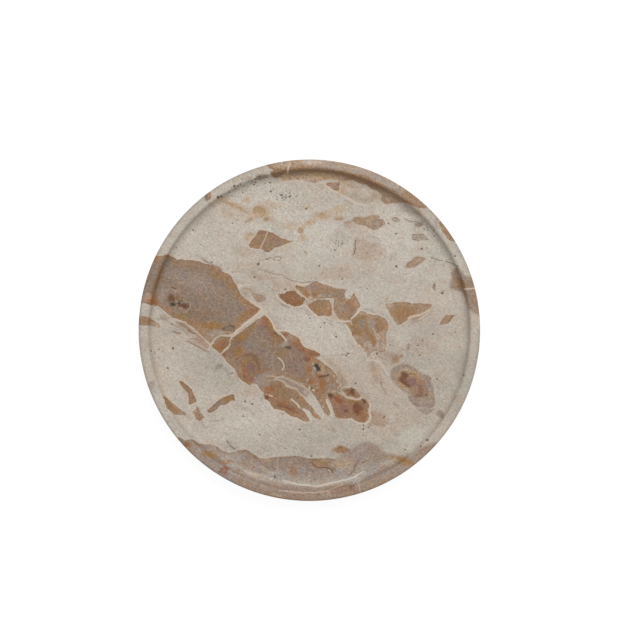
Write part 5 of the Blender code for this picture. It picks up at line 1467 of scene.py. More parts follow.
class Nodes:
    """Adds nodes to a tree. Each input of a node is a value, or the output that feeds it."""

    def __init__(self, tree: bpy.types.NodeTree) -> None:
        """Takes the tree that the nodes go in."""
        self.tree = tree

    @classmethod
    def of_material(cls, name: str) -> tuple[bpy.types.Material, Nodes]:
        """Returns a new material of that name and its emptied nodes."""
        material = bpy.data.materials.new(name)
        material.use_nodes = True
        material.node_tree.nodes.clear()
        return material, cls(material.node_tree)

    def add(
        self,
        kind: str,
        settings: Mapping[str, object] | None = None,
        inputs: Mapping[int | str, object] | None = None,
    ) -> bpy.types.Node:
        """Adds a node.

        Args:
            kind: Blender's name for the node's type.
            settings: The node's own properties.
            inputs: For each input, by name or number, a value or the output that feeds it.

        Returns:
            The new node.
        """
        node = self.tree.nodes.new(kind)
        for name, value in (settings or {}).items():
            setattr(node, name, value)
        for key, value in (inputs or {}).items():
            if isinstance(value, bpy.types.NodeSocket):
                self.tree.links.new(value, node.inputs[key])
            else:
                node.inputs[key].default_value = value
        return node

    def place(self) -> Socket:
        """Returns the point in the piece's own space."""
        return self.add("ShaderNodeTexCoord").outputs["Object"]

    def attribute(self, name: str, output: str = "Fac") -> Socket:
        """Returns an attribute of the mesh, as a number or as the output of that name."""
        settings = {"attribute_type": "GEOMETRY", "attribute_name": name}
        return self.add("ShaderNodeAttribute", settings).outputs[output]

    def math(self, operation: str, *values: Socket | float) -> Socket:
        """Returns the result of an operation on numbers."""
        return self.add("ShaderNodeMath", {"operation": operation}, dict(enumerate(values))).outputs[0]

    def vector_math(self, operation: str, *values: Socket | tuple[float, ...]) -> Socket:
        """Returns the result of an operation on vectors."""
        return self.add("ShaderNodeVectorMath", {"operation": operation}, dict(enumerate(values))).outputs[0]

    def noise(
        self, place: Socket, size: float, detail: float = 2.0, roughness: float = 0.5, output: int | str = 0
    ) -> Socket:
        """Returns soft noise.

        Args:
            place: The point.
            size: Millimetres from one cloud to the next.
            detail: How far the clouds break up.
            roughness: How strong their finer parts are.
            output: The node's output, 0 for the number.

        Returns:
            The noise.
        """
        inputs = {"Vector": place, "Scale": 1 / (size * MM), "Detail": detail, "Roughness": roughness}
        return self.add("ShaderNodeTexNoise", None, inputs).outputs[output]

    def cells(self, place: Socket, size: float, feature: str = "F1") -> Socket:
        """Returns the distance to a cell's middle, or to its edge, for cells of that size."""
        inputs = {"Vector": place, "Scale": 1 / (size * MM)}
        return self.add("ShaderNodeTexVoronoi", {"feature": feature}, inputs).outputs[0]

    def climb(
        self,
        value: Socket,
        low: float,
        high: float,
        top: Socket | float = 1.0,
        bottom: float = 0.0,
        shape: str = "SMOOTHSTEP",
    ) -> Socket:
        """Turns a value to a climb from one level to another.

        Args:
            value: What is read.
            low: The value at which the climb begins.
            high: The value at which it ends, below low where the climb is backwards.
            top: The level it ends at.
            bottom: The level it begins at.
            shape: How it climbs.

        Returns:
            The climb's output.
        """
        inputs = {0: value, 1: low, 2: high, 3: bottom, 4: top}
        return self.add("ShaderNodeMapRange", {"interpolation_type": shape}, inputs).outputs[0]

    def mix(self, share: Socket, under: object, over: object, blend: str = "MIX") -> Socket:
        """Returns one colour laid over another by a share."""
        settings = {"data_type": "RGBA", "blend_type": blend}
        return self.add("ShaderNodeMix", settings, {0: share, 6: under, 7: over}).outputs[2]

    def bump(self, strength: float, distance: float, height: Socket) -> Socket:
        """Returns the normal of a face that rises and falls, by a distance in millimetres."""
        inputs = {"Strength": strength, "Distance": distance * MM, "Height": height}
        return self.add("ShaderNodeBump", None, inputs).outputs[0]

    def surface(self, looks: Mapping[str, object]) -> None:
        """Gives the material its surface, with these looks."""
        shader = self.add("ShaderNodeBsdfPrincipled", None, looks)
        self.add("ShaderNodeOutputMaterial", None, {"Surface": shader.outputs[0]})


class Texture(Enum):
    """The kinds of pattern in the stone: soft clouds, thin cracks and small grains."""

    CLOUD = "clouds"
    CRACK = "DISTANCE_TO_EDGE"
    SPECK = "F1"


class Tint(Enum):
    """What a grain does to the colour it lies on: the factors of its red, green and blue."""

    BLUSH = (0.97, 0.9, 0.87)
    ASH = (0.87, 0.88, 0.9)
    PALER = (1.07, 1.08, 1.09)
    SHADE = (0.74, 0.73, 0.72)
    CHALK = (1.26, 1.27, 1.28)
    CALCITE = (1.16, 1.13, 1.08)
    TAN = (0.86, 0.77, 0.67)
    GREYER = (0.94, 0.98, 1.06)
    RUST = (1.04, 0.83, 0.58)
    OCHRE = (1.1, 0.97, 0.72)
    SOOT = (0.4, 0.35, 0.3)


@dataclass(frozen=True)
class Grain:
    """One fine pattern, through which the stone is tinted.

    The size is in millimetres from one feature to the next. The tint begins where the texture is at
    low and is full where it is at high. Stretch draws it out along the bed, and patches, where it
    isn't 0, is the size of the areas that it comes and goes in. Detail is how far a cloud breaks up.
    """

    texture: Texture
    size: float
    low: float
    high: float
    tint: Tint
    strength: float
    stretch: float = 1.0
    patches: float = 0.0
    detail: float = 4.0


@dataclass(frozen=True)
class Rind:
    """A thin line along every clast's edge, which comes and goes as a noise climbs past two values.

    The middle is in millimetres inside the edge, below 0 where the line lies in the ground.
    """

    tone: Tone
    strength: float
    middle: float
    half_width: float
    gone_at: float
    full_at: float


@dataclass(frozen=True)
class HonedBreccia:
    """Breccia marble, sawn, turned and then honed: a satin face whose figure is its only contrast.

    Honing leaves a fine even tooth, so lamps show as a broad soft sheen and not as spots. Marble's
    IOR is near 1.5. The clasts are a little rougher than the calcite round them, but here the roughness
    only wanders in soft clouds.

    Sizes and wanders are in millimetres. Climbs, ends and edges are the two values between which a
    thing comes in. Each pattern lies grain_shift, in metres, times its number away from the others.
    """

    name: str = "honed_breccia_marble"
    ior: float = 1.49
    sheen: float = 0.38
    roughness: tuple[float, float] = (0.44, 0.6)
    sheen_cloud: float = 3.0
    tooth: float = 1.5
    tooth_strength: float = 0.3
    tooth_depth: float = 0.05
    edge_wander: float = 0.9
    vein_wander: float = 0.6
    pore_climb: tuple[float, float] = (1.25, 0.75)
    pore_shade_strength: float = 0.8
    bed_turn: float = math.radians(-33)
    bend_size: float = 7.0
    bend: float = 5.0
    rind_cloud: float = 9.0
    rind_core: float = 0.1
    vein_ends: tuple[float, float] = (2.4, 1.7)
    vein_edges: tuple[float, float] = (1.3, 0.7)
    vein_strength: float = 0.9
    sheen_climb: tuple[float, float] = (0.3, 0.7)
    cloud_roughness: float = 0.6
    patch_climb: tuple[float, float] = (0.44, 0.6)
    grain_shift: tuple[float, float, float] = (0.11, 0.07, 0.05)
    body_first: int = 20
    rinds: tuple[Rind, ...] = (
        Rind(Tone.UMBER, 0.5, 0.5, 0.8, 0.4, 0.58),
        Rind(Tone.CREAM, 0.6, -0.8, 0.8, 0.56, 0.44),
    )
    ground: tuple[Grain, ...] = (
        Grain(Texture.CLOUD, 9.0, 0.5, 0.74, Tint.BLUSH, 0.8, detail=1.5),
        Grain(Texture.CLOUD, 5.0, 0.52, 0.7, Tint.ASH, 0.65, 3.0),
        Grain(Texture.CLOUD, 2.6, 0.5, 0.68, Tint.PALER, 0.8),
        Grain(Texture.CLOUD, 1.4, 0.49, 0.64, Tint.SHADE, 0.8, 1.6),
        Grain(Texture.CLOUD, 1.2, 0.5, 0.64, Tint.CHALK, 0.8, 1.3),
        Grain(Texture.CRACK, 15.0, 0.035, 0.0, Tint.CALCITE, 0.6, 1.5, 22.0),
        Grain(Texture.CRACK, 8.0, 0.05, 0.0, Tint.TAN, 0.45, 1.7, 15.0),
        Grain(Texture.SPECK, 3.0, 0.18, 0.08, Tint.SOOT, 0.4, 1.0, 9.0),
        Grain(Texture.SPECK, 5.0, 0.12, 0.05, Tint.SHADE, 0.8, 2.6, 16.0),
    )
    body: tuple[Grain, ...] = (
        Grain(Texture.CLOUD, 9.0, 0.46, 0.6, Tint.GREYER, 0.9, detail=1.0),
        Grain(Texture.CLOUD, 13.0, 0.5, 0.66, Tint.RUST, 0.3, detail=1.0),
        Grain(Texture.CLOUD, 7.0, 0.5, 0.68, Tint.OCHRE, 0.3, 1.6, detail=1.0),
        Grain(Texture.CLOUD, 2.0, 0.5, 0.64, Tint.SHADE, 0.75, 1.6),
        Grain(Texture.CLOUD, 1.2, 0.47, 0.6, Tint.SHADE, 0.9),
        Grain(Texture.CLOUD, 1.4, 0.5, 0.6, Tint.CHALK, 0.85, 1.4),
        Grain(Texture.CLOUD, 1.1, 0.5, 0.58, Tint.CHALK, 0.75),
        Grain(Texture.CRACK, 5.0, 0.06, 0.0, Tint.CHALK, 0.6, 1.3, 14.0),
        Grain(Texture.CRACK, 10.0, 0.05, 0.0, Tint.CHALK, 0.5, 1.3, 12.0),
        Grain(Texture.SPECK, 3.0, 0.2, 0.08, Tint.SOOT, 0.5, 1.0, 8.0),
    )

    def material(self) -> bpy.types.Material:
        """Builds the material, which reads the figure from the mesh's attributes.

        Returns:
            The finished material.
        """
        material, nodes = Nodes.of_material(self.name)
        place, crisp = nodes.place(), nodes.attribute("crisp")
        tooth = nodes.noise(place, self.tooth, 3.0)
        ragged = nodes.math("MULTIPLY_ADD", tooth, 2 * self.edge_wander, -self.edge_wander)
        inward = nodes.math("MULTIPLY_ADD", ragged, crisp, nodes.attribute("edge"))
        ground = self._grained(nodes, place, nodes.attribute("ground", "Color"), self.ground, 0)
        body = self._grained(nodes, place, nodes.attribute("body", "Color"), self.body, self.body_first)
        stone = nodes.mix(nodes.climb(inward, -SHARP, SHARP), ground, body)
        stone = self._outlined(nodes, place, stone, inward, crisp)
        stone = self._veined(nodes, stone, ragged)
        # Painted shade: each pore's colour is darkened towards DARK, on top of the shallow dent that sinks
        # it.
        pore_shade = nodes.climb(nodes.attribute("pore"), *self.pore_climb, self.pore_shade_strength)
        satin, matt = self.roughness
        sheen = nodes.noise(place, self.sheen_cloud, 4.0)
        nodes.surface(
            {
                "Base Color": nodes.mix(pore_shade, stone, bare(Tone.DARK)),
                "Roughness": nodes.climb(sheen, *self.sheen_climb, matt, satin),
                "IOR": self.ior,
                "Specular IOR Level": self.sheen,
                "Normal": nodes.bump(self.tooth_strength, self.tooth_depth, tooth),
            }
        )
        return material

    def _grained(
        self, nodes: Nodes, place: Socket, colour: Socket, grains: Sequence[Grain], first: int
    ) -> Socket:
        """Lays fine patterns over a colour.

        Args:
            nodes: The material's nodes.
            place: The point in the block.
            colour: The colour that the patterns go on.
            grains: The patterns, in the order they are laid.
            first: A number that moves these patterns away from those of another call.

        Returns:
            The colour with its grain.
        """
        warp = nodes.noise(place, self.bend_size, output="Color")
        bend = nodes.vector_math("MULTIPLY", warp, (self.bend * MM,) * 3)
        bent = nodes.vector_math("ADD", place, bend)
        for index, grain in enumerate(grains, first):
            turned = nodes.add(
                "ShaderNodeMapping",
                {"vector_type": "TEXTURE"},
                {
                    "Vector": place if grain.texture is Texture.CLOUD else bent,
                    "Location": tuple(metres * index for metres in self.grain_shift),
                    "Rotation": (0, 0, self.bed_turn),
                    "Scale": (grain.stretch, 1, 1),
                },
            ).outputs[0]
            if grain.texture is Texture.CLOUD:
                texture = nodes.noise(turned, grain.size, grain.detail, self.cloud_roughness)
            else:
                texture = nodes.cells(turned, grain.size, grain.texture.value)
            strength: float | Socket = grain.strength
            if grain.patches:
                areas = nodes.noise(turned, grain.patches)
                strength = nodes.climb(areas, *self.patch_climb, grain.strength)
            share = nodes.climb(texture, grain.low, grain.high, strength)
            colour = nodes.mix(share, colour, (*grain.tint.value, 1.0), "MULTIPLY")
        return colour

    def _outlined(self, nodes: Nodes, place: Socket, stone: Socket, inward: Socket, crisp: Socket) -> Socket:
        """Draws the thin dark skin inside each clast's edge and the pale calcite round it.

        Args:
            nodes: The material's nodes.
            place: The point in the block.
            stone: The colour so far.
            inward: Millimetres inside a clast.
            crisp: 1 where the clast's outline is sharp, less where it fades.

        Returns:
            The colour with the clasts' outlines.
        """
        broken = nodes.noise(place, self.rind_cloud)
        for rind in self.rinds:
            away = nodes.math("ABSOLUTE", nodes.math("SUBTRACT", inward, rind.middle))
            level = nodes.climb(broken, rind.gone_at, rind.full_at, rind.strength)
            level = nodes.math("MULTIPLY", level, crisp)
            share = nodes.climb(away, rind.half_width, self.rind_core, level)
            stone = nodes.mix(share, stone, bare(rind.tone))
        return stone

    def _veined(self, nodes: Nodes, stone: Socket, ragged: Socket) -> Socket:
        """Draws the veins, each out to its half width and a little past its ends.

        Args:
            nodes: The material's nodes.
            stone: The colour so far.
            ragged: Noise that roughens the veins' edges.

        Returns:
            The colour with the veins.
        """
        away = nodes.math("ABSOLUTE", nodes.attribute("side"))
        rough = nodes.math("MULTIPLY_ADD", ragged, self.vein_wander, away)
        level = nodes.climb(nodes.attribute("reach"), *self.vein_ends, self.vein_strength)
        share = nodes.climb(rough, *self.vein_edges, level)
        return nodes.mix(share, stone, nodes.attribute("line", "Color"))


@dataclass(frozen=True)
class WoolFelt:
    """Needled wool felt, die-cut: a matt mat of crossed fibres with a soft bloom where light grazes.

    The fibres carry an attribute, tint, so that undyed, brown and dark hairs lie side by side. Wool is
    some 0.03 mm thick, too fine to show, so the mat between them is drawn as tufts. Sizes in millimetres.
    """

    name: str = "needled_wool_felt"
    dark: str = "#4A3D33"
    light: str = "#8C7A68"
    tuft: float = 0.7
    nap: float = 0.15

    def material(self) -> bpy.types.Material:
        """Builds the material.

        Returns:
            The finished material.
        """
        material, nodes = Nodes.of_material(self.name)
        tuft = nodes.noise(nodes.place(), self.tuft, 5.0)
        mixed = nodes.math("MULTIPLY_ADD", tuft, 0.7, nodes.attribute("tint"))
        level = nodes.climb(mixed, 0.2, 1.4, shape="LINEAR")
        nodes.surface(
            {
                "Base Color": nodes.mix(level, linear(self.dark), linear(self.light)),
                "Roughness": 0.95,
                "IOR": 1.46,
                "Sheen Weight": 0.35,
                "Sheen Roughness": 0.5,
                "Normal": nodes.bump(0.8, self.nap, tuft),
            }
        )
        return material


@dataclass(frozen=True)
class FoamTape:
    """Polyethylene foam tape, blown and die-cut: off-white, with fine closed cells on its cut edge.

    The cells are some 0.1 mm across, and are drawn larger so that they show at all. Sizes in millimetres.
    """

    name: str = "polyethylene_foam_tape"
    colour: str = "#D6D0C2"
    cell_wall: str = "#B9B2A2"
    cell: float = 0.35
    dent: float = 0.08

    def material(self) -> bpy.types.Material:
        """Builds the material.

        Returns:
            The finished material.
        """
        material, nodes = Nodes.of_material(self.name)
        cells = nodes.cells(nodes.place(), self.cell)
        level = nodes.climb(cells, 0.2, 0.8, shape="LINEAR")
        nodes.surface(
            {
                "Base Color": nodes.mix(level, linear(self.colour), linear(self.cell_wall)),
                "Roughness": 0.75,
                "IOR": 1.5,
                "Normal": nodes.bump(0.5, self.dent, cells),
            }
        )
        return material


def disc_lattice(cells: int) -> tuple[Floats, Floats]:
    """Bends a square lattice into a disc of radius 1, so that its cells stay about even.

    Args:
        cells: Cells along each side of the square.

    Returns:
        x and y of the lattice's points, as square arrays whose rows run up.
    """
    steps = np.linspace(-1, 1, cells + 1)
    u, v = np.meshgrid(steps, steps)
    wide = np.abs(u) >= np.abs(v)
    longer, shorter = np.where(wide, u, v), np.where(wide, v, u)
    share = np.divide(shorter, longer, out=np.zeros_like(u), where=longer != 0) * math.pi / 4
    bearing = np.where(wide, share, math.pi / 2 - share)
    return longer * np.cos(bearing), longer * np.sin(bearing)


@dataclass(frozen=True)
class Turning:
    """A closed solid turned about Z, its ends made of even lattices, so that it has no poles.

    The section runs from the edge of the top lattice, outwards and down, to the edge of the bottom
    one, as radius and height in millimetres. From the ring of number coarse_from on, the loops have
    half as many points, and the bottom lattice has half as many again.
    """

    section: Course
    cells: int
    coarse_from: int | None = None

    def net(self) -> tuple[Floats, list[Sequence[int]]]:
        """Works out the solid.

        Returns:
            The points in millimetres, and the faces, which all point outwards.
        """
        unit_x, unit_y = disc_lattice(self.cells)
        rim = self._loop(self.cells, 0)
        rim_x, rim_y = unit_x.ravel()[rim], unit_y.ravel()[rim]
        (top_radius, top_height), *rings, (bottom_radius, bottom_height) = self.section
        points = [self._level(unit_x * top_radius, unit_y * top_radius, top_height)]
        faces = self._cells(self.cells, 0, 1)
        count = len(points[0])
        last = rim
        for number, (radius, height) in enumerate(rings, 1):
            if number == self.coarse_from:
                rim_x, rim_y = rim_x[::2], rim_y[::2]
            points.append(self._level(rim_x * radius, rim_y * radius, height))
            ring = count + np.arange(len(rim_x))
            faces += self._band(last, ring)
            last, count = ring, count + len(ring)
        cells = self.cells // 4 if self.coarse_from else self.cells
        low_x, low_y = disc_lattice(cells)
        points.append(self._level(low_x * bottom_radius, low_y * bottom_radius, bottom_height))
        faces += self._band(last, self._loop(cells, count)) + self._cells(cells, count, -1)
        return np.vstack(points), faces

    @staticmethod
    def _level(x: Floats, y: Floats, height: float) -> Floats:
        """Returns points at one height, one per row."""
        return np.column_stack([x.ravel(), y.ravel(), np.full(x.size, height)])

    @staticmethod
    def _loop(cells: int, first: int) -> Rows:
        """Returns the numbers of a lattice's outer points, anticlockwise from its lower right corner."""
        at = first + np.arange((cells + 1) ** 2).reshape(cells + 1, cells + 1)
        return np.concatenate([at[:-1, -1], at[-1, :0:-1], at[:0:-1, 0], at[0, :-1]])

    @staticmethod
    def _cells(cells: int, first: int, turn: int) -> list[Sequence[int]]:
        """Returns a lattice's faces, which point up where turn is 1 and down where it is -1."""
        at = first + np.arange((cells + 1) ** 2).reshape(cells + 1, cells + 1)
        corners = np.stack([at[:-1, :-1], at[:-1, 1:], at[1:, 1:], at[1:, :-1]], axis=-1)
        return corners.reshape(-1, 4)[:, ::turn].tolist()

    @staticmethod
    def _band(upper: Rows, lower: Rows) -> list[Sequence[int]]:
        """Joins two loops of points, the second of which may have half as many.

        Args:
            upper: Point numbers of the loop nearer to the top lattice.
            lower: Point numbers of the next loop.

        Returns:
            The faces between them.
        """
        upper_next, lower_next = np.roll(upper, -1), np.roll(lower, -1)
        if len(upper) == len(lower):
            return np.column_stack([upper, lower, lower_next, upper_next]).tolist()
        even, odd, after = upper[::2], upper[1::2], upper_next[1::2]
        triangles = [(even, lower, odd), (odd, lower, lower_next), (odd, lower_next, after)]
        return np.vstack([np.column_stack(corners) for corners in triangles]).tolist()


def make_piece(
    name: str, points: Floats, faces: list[Sequence[int]], finish: bpy.types.Material
) -> bpy.types.Object:
    """Makes a smooth mesh object at the origin.

    Args:
        name: The piece's name.
        points: Its points in millimetres, one per row.
        faces: Its faces as point numbers.
        finish: Its material.

    Returns:
        The object, linked to the scene.
    """
    mesh = bpy.data.meshes.new(name)
    mesh.from_pydata((points * MM).tolist(), [], faces)
    mesh.shade_smooth()
    mesh.materials.append(finish)
    piece = bpy.data.objects.new(name, mesh)
    bpy.context.scene.collection.objects.link(piece)
    return piece


def declare(piece: bpy.types.Object, node: str) -> None:
    """Puts a finished piece on the tray's body, in place of a CAD node.

    Args:
        piece: The piece.
        node: The CAD node that it stands for.
    """
    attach(piece, BODY)
    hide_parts(node)
    LOG.info("%s: %d points, stands for %s", piece.name, len(piece.data.vertices), node)


@dataclass(frozen=True)
class StoneTray:
    """The turned block: floor, cove, rim with eased edges, wall and underside. Sizes in millimetres.

    The steps and rings say how finely each stretch of the section is cut. A depth below the shown
    face that is less than the level counts as none.
    """

    node: str = "stone_tray_body"
    recess_depth: float = 8.0
    rim_width: float = 8.4
    cove_radius: float = 7.0
    wall_slope: float = math.radians(68)
    rim_inner_round: float = 2.5
    rim_outer_round: float = 1.2
    underside_round: float = 1.5
    underside_inset: float = 2.0
    cells: int = 252
    cove_steps: int = 8
    wall_rings: int = 2
    lip_steps: int = 4
    rim_rings: int = 5
    edge_steps: int = 3
    side_rings: int = 8
    level: float = 0.01
    figure: BrecciaFigure = BrecciaFigure()
    finish: HonedBreccia = HonedBreccia()

    def build(self) -> bpy.types.Object:
        """Builds the tray in the place of its CAD node.

        Returns:
            The tray's object.
        """
        low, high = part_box(self.node)
        radius, base, top = high.x / MM, low.z / MM, high.z / MM
        upper = self._upper_section(radius, top)
        lower = self._lower_section(radius, base, top)
        points, faces = Turning(upper + lower, self.cells, coarse_from=len(upper)).net()
        piece = make_piece("marble_tray", points, faces, self.finish.material())
        out = np.hypot(points[:, 0], points[:, 1])
        depth = np.interp(out, *np.transpose(upper)) - points[:, 2]
        depth = np.where(depth < self.level, 0.0, depth)
        drawn = points[:, :2] * DRAWING_RADIUS / radius
        fields = self.figure.fields(np.column_stack([drawn, depth]))
        self._sink_pores(piece.data, points, fields.depth)
        self._write(piece.data, fields)
        declare(piece, self.node)
        return piece

    def _upper_section(self, radius: float, top: float) -> Course:
        """Returns the section from the edge of the flat floor over the rim to the top of the wall."""
        cove, inner, outer = self.cove_radius, self.rim_inner_round, self.rim_outer_round
        slope, floor = self.wall_slope, top - self.recess_depth
        edge = radius - self.rim_width + inner * math.tan(slope / 2)
        corner = radius - self.rim_width - self.recess_depth / math.tan(slope)
        cove_start = corner - cove * math.tan(slope / 2)
        turn = math.degrees(slope)
        sweep = arc((cove_start, floor + cove), (cove, cove), -90, turn - 90, self.cove_steps)
        # An arc leaves out its first point, which lies a degree past the end of the straight wall here.
        lip = arc((edge, top - inner), (inner, inner), 91 + turn, 90, self.lip_steps)
        wall = np.linspace(sweep[-1], lip[0], self.wall_rings + 2)[1:-1]
        flat = np.linspace(edge, radius - outer, self.rim_rings + 1)[1:]
        return (
            ((cove_start, floor),)
            + sweep
            + tuple((float(r), float(height)) for r, height in wall)
            + lip
            + tuple((float(r), top) for r in flat)
            + arc((radius - outer, top - outer), (outer, outer), 90, 0, self.edge_steps)
        )

    def _lower_section(self, radius: float, base: float, top: float) -> Course:
        """Returns the section from below the rim, down the wall and in to the underside's lattice."""
        ease = self.underside_round
        wall = np.linspace(top - self.rim_outer_round, base + ease, self.side_rings + 1)[1:]
        return (
            tuple((radius, float(height)) for height in wall)
            + arc((radius - ease, base + ease), (ease, ease), 0, -90, self.edge_steps)
            + ((radius - ease - self.underside_inset, base),)
        )

    @staticmethod
    def _sink_pores(mesh: bpy.types.Mesh, points: Floats, depth: Floats) -> None:
        """Pushes the surface in by the depth of each pore."""
        normals = np.zeros(len(points) * 3, np.float32)
        mesh.vertex_normals.foreach_get("vector", normals)
        sunk = (points - normals.reshape(-1, 3) * depth[:, None]) * MM
        mesh.vertices.foreach_set("co", sunk.astype(np.float32).ravel())
        mesh.update()

    @staticmethod
    def _write(mesh: bpy.types.Mesh, fields: StoneFields) -> None:
        """Writes the figure to the mesh, one attribute for each of its fields."""
        for name in ("ground", "body", "line"):
            colours = np.column_stack([getattr(fields, name), np.ones(len(mesh.vertices))])
            attribute = mesh.attributes.new(name, "FLOAT_COLOR", "POINT")
            attribute.data.foreach_set("color", colours.astype(np.float32).ravel())
        for name in ("edge", "crisp", "side", "reach", "pore"):
            attribute = mesh.attributes.new(name, "FLOAT", "POINT")
            attribute.data.foreach_set("value", getattr(fields, name).astype(np.float32))


@dataclass(frozen=True)
class FeltFibres:
    """Geometry Nodes that cover a felt disc with loose wool fibres. Lengths in millimetres.

    A fibre lies along X and bends past its middle to its tip, both in fibre lengths. It is tilted at
    random by up to the tilt, in radians, and turned any way about the face.
    """

    density: float = 1.1
    length: float = 1.9
    length_range: tuple[float, float] = (0.55, 1.25)
    thickness: float = 0.09
    middle: tuple[float, float, float] = (0.5, 0.05, 0.2)
    tip: tuple[float, float, float] = (0.95, -0.12, 0.03)
    tilt: float = 0.25
    pieces: int = 4
    sides: int = 3
    seed: int = 11

    def cover(self, disc: bpy.types.Object, low: float, high: float) -> bpy.types.Object:
        """Covers a disc with fibres.

        Args:
            disc: The plain disc, which is removed.
            low: The height in metres that no fibre goes below.
            high: The height in metres that none goes above.

        Returns:
            A plain mesh object of the disc and its fibres.
        """
        tree = self._tree()
        modifier = disc.modifiers.new("fibres", "NODES")
        modifier.node_group = tree
        values = {
            "Density": self.density / MM**2,
            "Length": self.length * MM,
            "Thickness": self.thickness * MM,
            "Lowest": low,
            "Highest": high,
            "Seed": self.seed,
            "Felt": disc.data.materials[0],
        }
        for item in tree.interface.items_tree:
            if item.name in values:
                modifier[item.identifier] = values[item.name]
        graph = bpy.context.evaluated_depsgraph_get()
        mesh = bpy.data.meshes.new_from_object(disc.evaluated_get(graph))
        name, plain = disc.name, disc.data
        bpy.data.objects.remove(disc)
        bpy.data.meshes.remove(plain)
        mesh.name = name
        covered = bpy.data.objects.new(name, mesh)
        bpy.context.scene.collection.objects.link(covered)
        return covered

    def _tree(self) -> bpy.types.NodeTree:
        """Builds the node tree.

        Returns:
            A tree that takes a mesh and gives it with its fibres.
        """
        tree = bpy.data.node_groups.new("felt_fibres", "GeometryNodeTree")
        face = tree.interface
        face.new_socket("Geometry", in_out="INPUT", socket_type="NodeSocketGeometry")
        for name in ("Density", "Length", "Thickness", "Lowest", "Highest"):
            face.new_socket(name, in_out="INPUT", socket_type="NodeSocketFloat")
        face.new_socket("Seed", in_out="INPUT", socket_type="NodeSocketInt")
        face.new_socket("Felt", in_out="INPUT", socket_type="NodeSocketMaterial")
        face.new_socket("Geometry", in_out="OUTPUT", socket_type="NodeSocketGeometry")
        nodes = Nodes(tree)
        given = nodes.add("NodeGroupInput").outputs
        hairs = self._hairs(nodes, given)
        both = nodes.add("GeometryNodeJoinGeometry")
        tree.links.new(given["Geometry"], both.inputs[0])
        tree.links.new(hairs, both.inputs[0])
        where = nodes.add("GeometryNodeInputPosition").outputs[0]
        across, up, height = nodes.add("ShaderNodeSeparateXYZ", None, {0: where}).outputs
        raised = nodes.math("MAXIMUM", height, given["Lowest"])
        kept = nodes.math("MINIMUM", raised, given["Highest"])
        pressed = nodes.add("ShaderNodeCombineXYZ", None, {0: across, 1: up, 2: kept}).outputs[0]
        moved = nodes.add(
            "GeometryNodeSetPosition", None, {"Geometry": both.outputs[0], "Position": pressed}
        ).outputs[0]
        dressed = {"Geometry": moved, "Material": given["Felt"]}
        felt = nodes.add("GeometryNodeSetMaterial", None, dressed).outputs[0]
        nodes.add("NodeGroupOutput", None, {0: felt})
        return tree

    def _hairs(self, nodes: Nodes, given: bpy.types.NodeOutputs) -> Socket:
        """Adds the nodes that grow the fibres.

        Args:
            nodes: The tree's nodes.
            given: What the tree is given.

        Returns:
            The fibres as a mesh, each with its tint.
        """
        seed = given["Seed"]
        roots = nodes.add(
            "GeometryNodeDistributePointsOnFaces",
            None,
            {"Mesh": given["Geometry"], "Density": given["Density"], "Seed": seed},
        ).outputs
        fibre = self._fibre(nodes, given["Length"], given["Thickness"])
        least, most = (-self.tilt, -self.tilt, 0), (self.tilt, self.tilt, math.tau)
        spin = nodes.add(
            "FunctionNodeRandomValue", {"data_type": "FLOAT_VECTOR"}, {0: least, 1: most, "Seed": seed}
        )
        turned = nodes.add(
            "FunctionNodeRotateRotation",
            {"rotation_space": "LOCAL"},
            {0: roots["Rotation"], 1: spin.outputs[0]},
        )
        shortest, longest = self.length_range
        hairs = nodes.add(
            "GeometryNodeInstanceOnPoints",
            None,
            {
                "Points": roots["Points"],
                "Instance": fibre,
                "Rotation": turned.outputs[0],
                "Scale": self._lot(nodes, shortest, longest, seed),
            },
        )
        tinted = nodes.add(
            "GeometryNodeStoreNamedAttribute",
            {"data_type": "FLOAT", "domain": "INSTANCE"},
            {"Geometry": hairs.outputs[0], "Name": "tint", "Value": self._lot(nodes, 0.0, 1.0, seed)},
        )
        return nodes.add("GeometryNodeRealizeInstances", None, {0: tinted.outputs[0]}).outputs[0]

    def _fibre(self, nodes: Nodes, length: Socket, thickness: Socket) -> Socket:
        """Adds the nodes that make one fibre, and returns its mesh."""
        middle, tip = (
            nodes.add("ShaderNodeVectorMath", {"operation": "SCALE"}, {0: place, 3: length}).outputs[0]
            for place in (self.middle, self.tip)
        )
        line = nodes.add(
            "GeometryNodeCurveQuadraticBezier",
            None,
            {"Resolution": self.pieces, "Start": (0, 0, 0), "Middle": middle, "End": tip},
        )
        half = nodes.math("MULTIPLY", thickness, 0.5)
        ring = nodes.add("GeometryNodeCurvePrimitiveCircle", None, {"Resolution": self.sides, "Radius": half})
        parts = {"Curve": line.outputs[0], "Profile Curve": ring.outputs[0], "Fill Caps": True}
        return nodes.add("GeometryNodeCurveToMesh", None, parts).outputs[0]

    @staticmethod
    def _lot(nodes: Nodes, low: float, high: float, seed: Socket) -> Socket:
        """Returns a random number between two for each fibre."""
        inputs = {2: low, 3: high, "Seed": seed}
        return nodes.add("FunctionNodeRandomValue", {"data_type": "FLOAT"}, inputs).outputs[1]


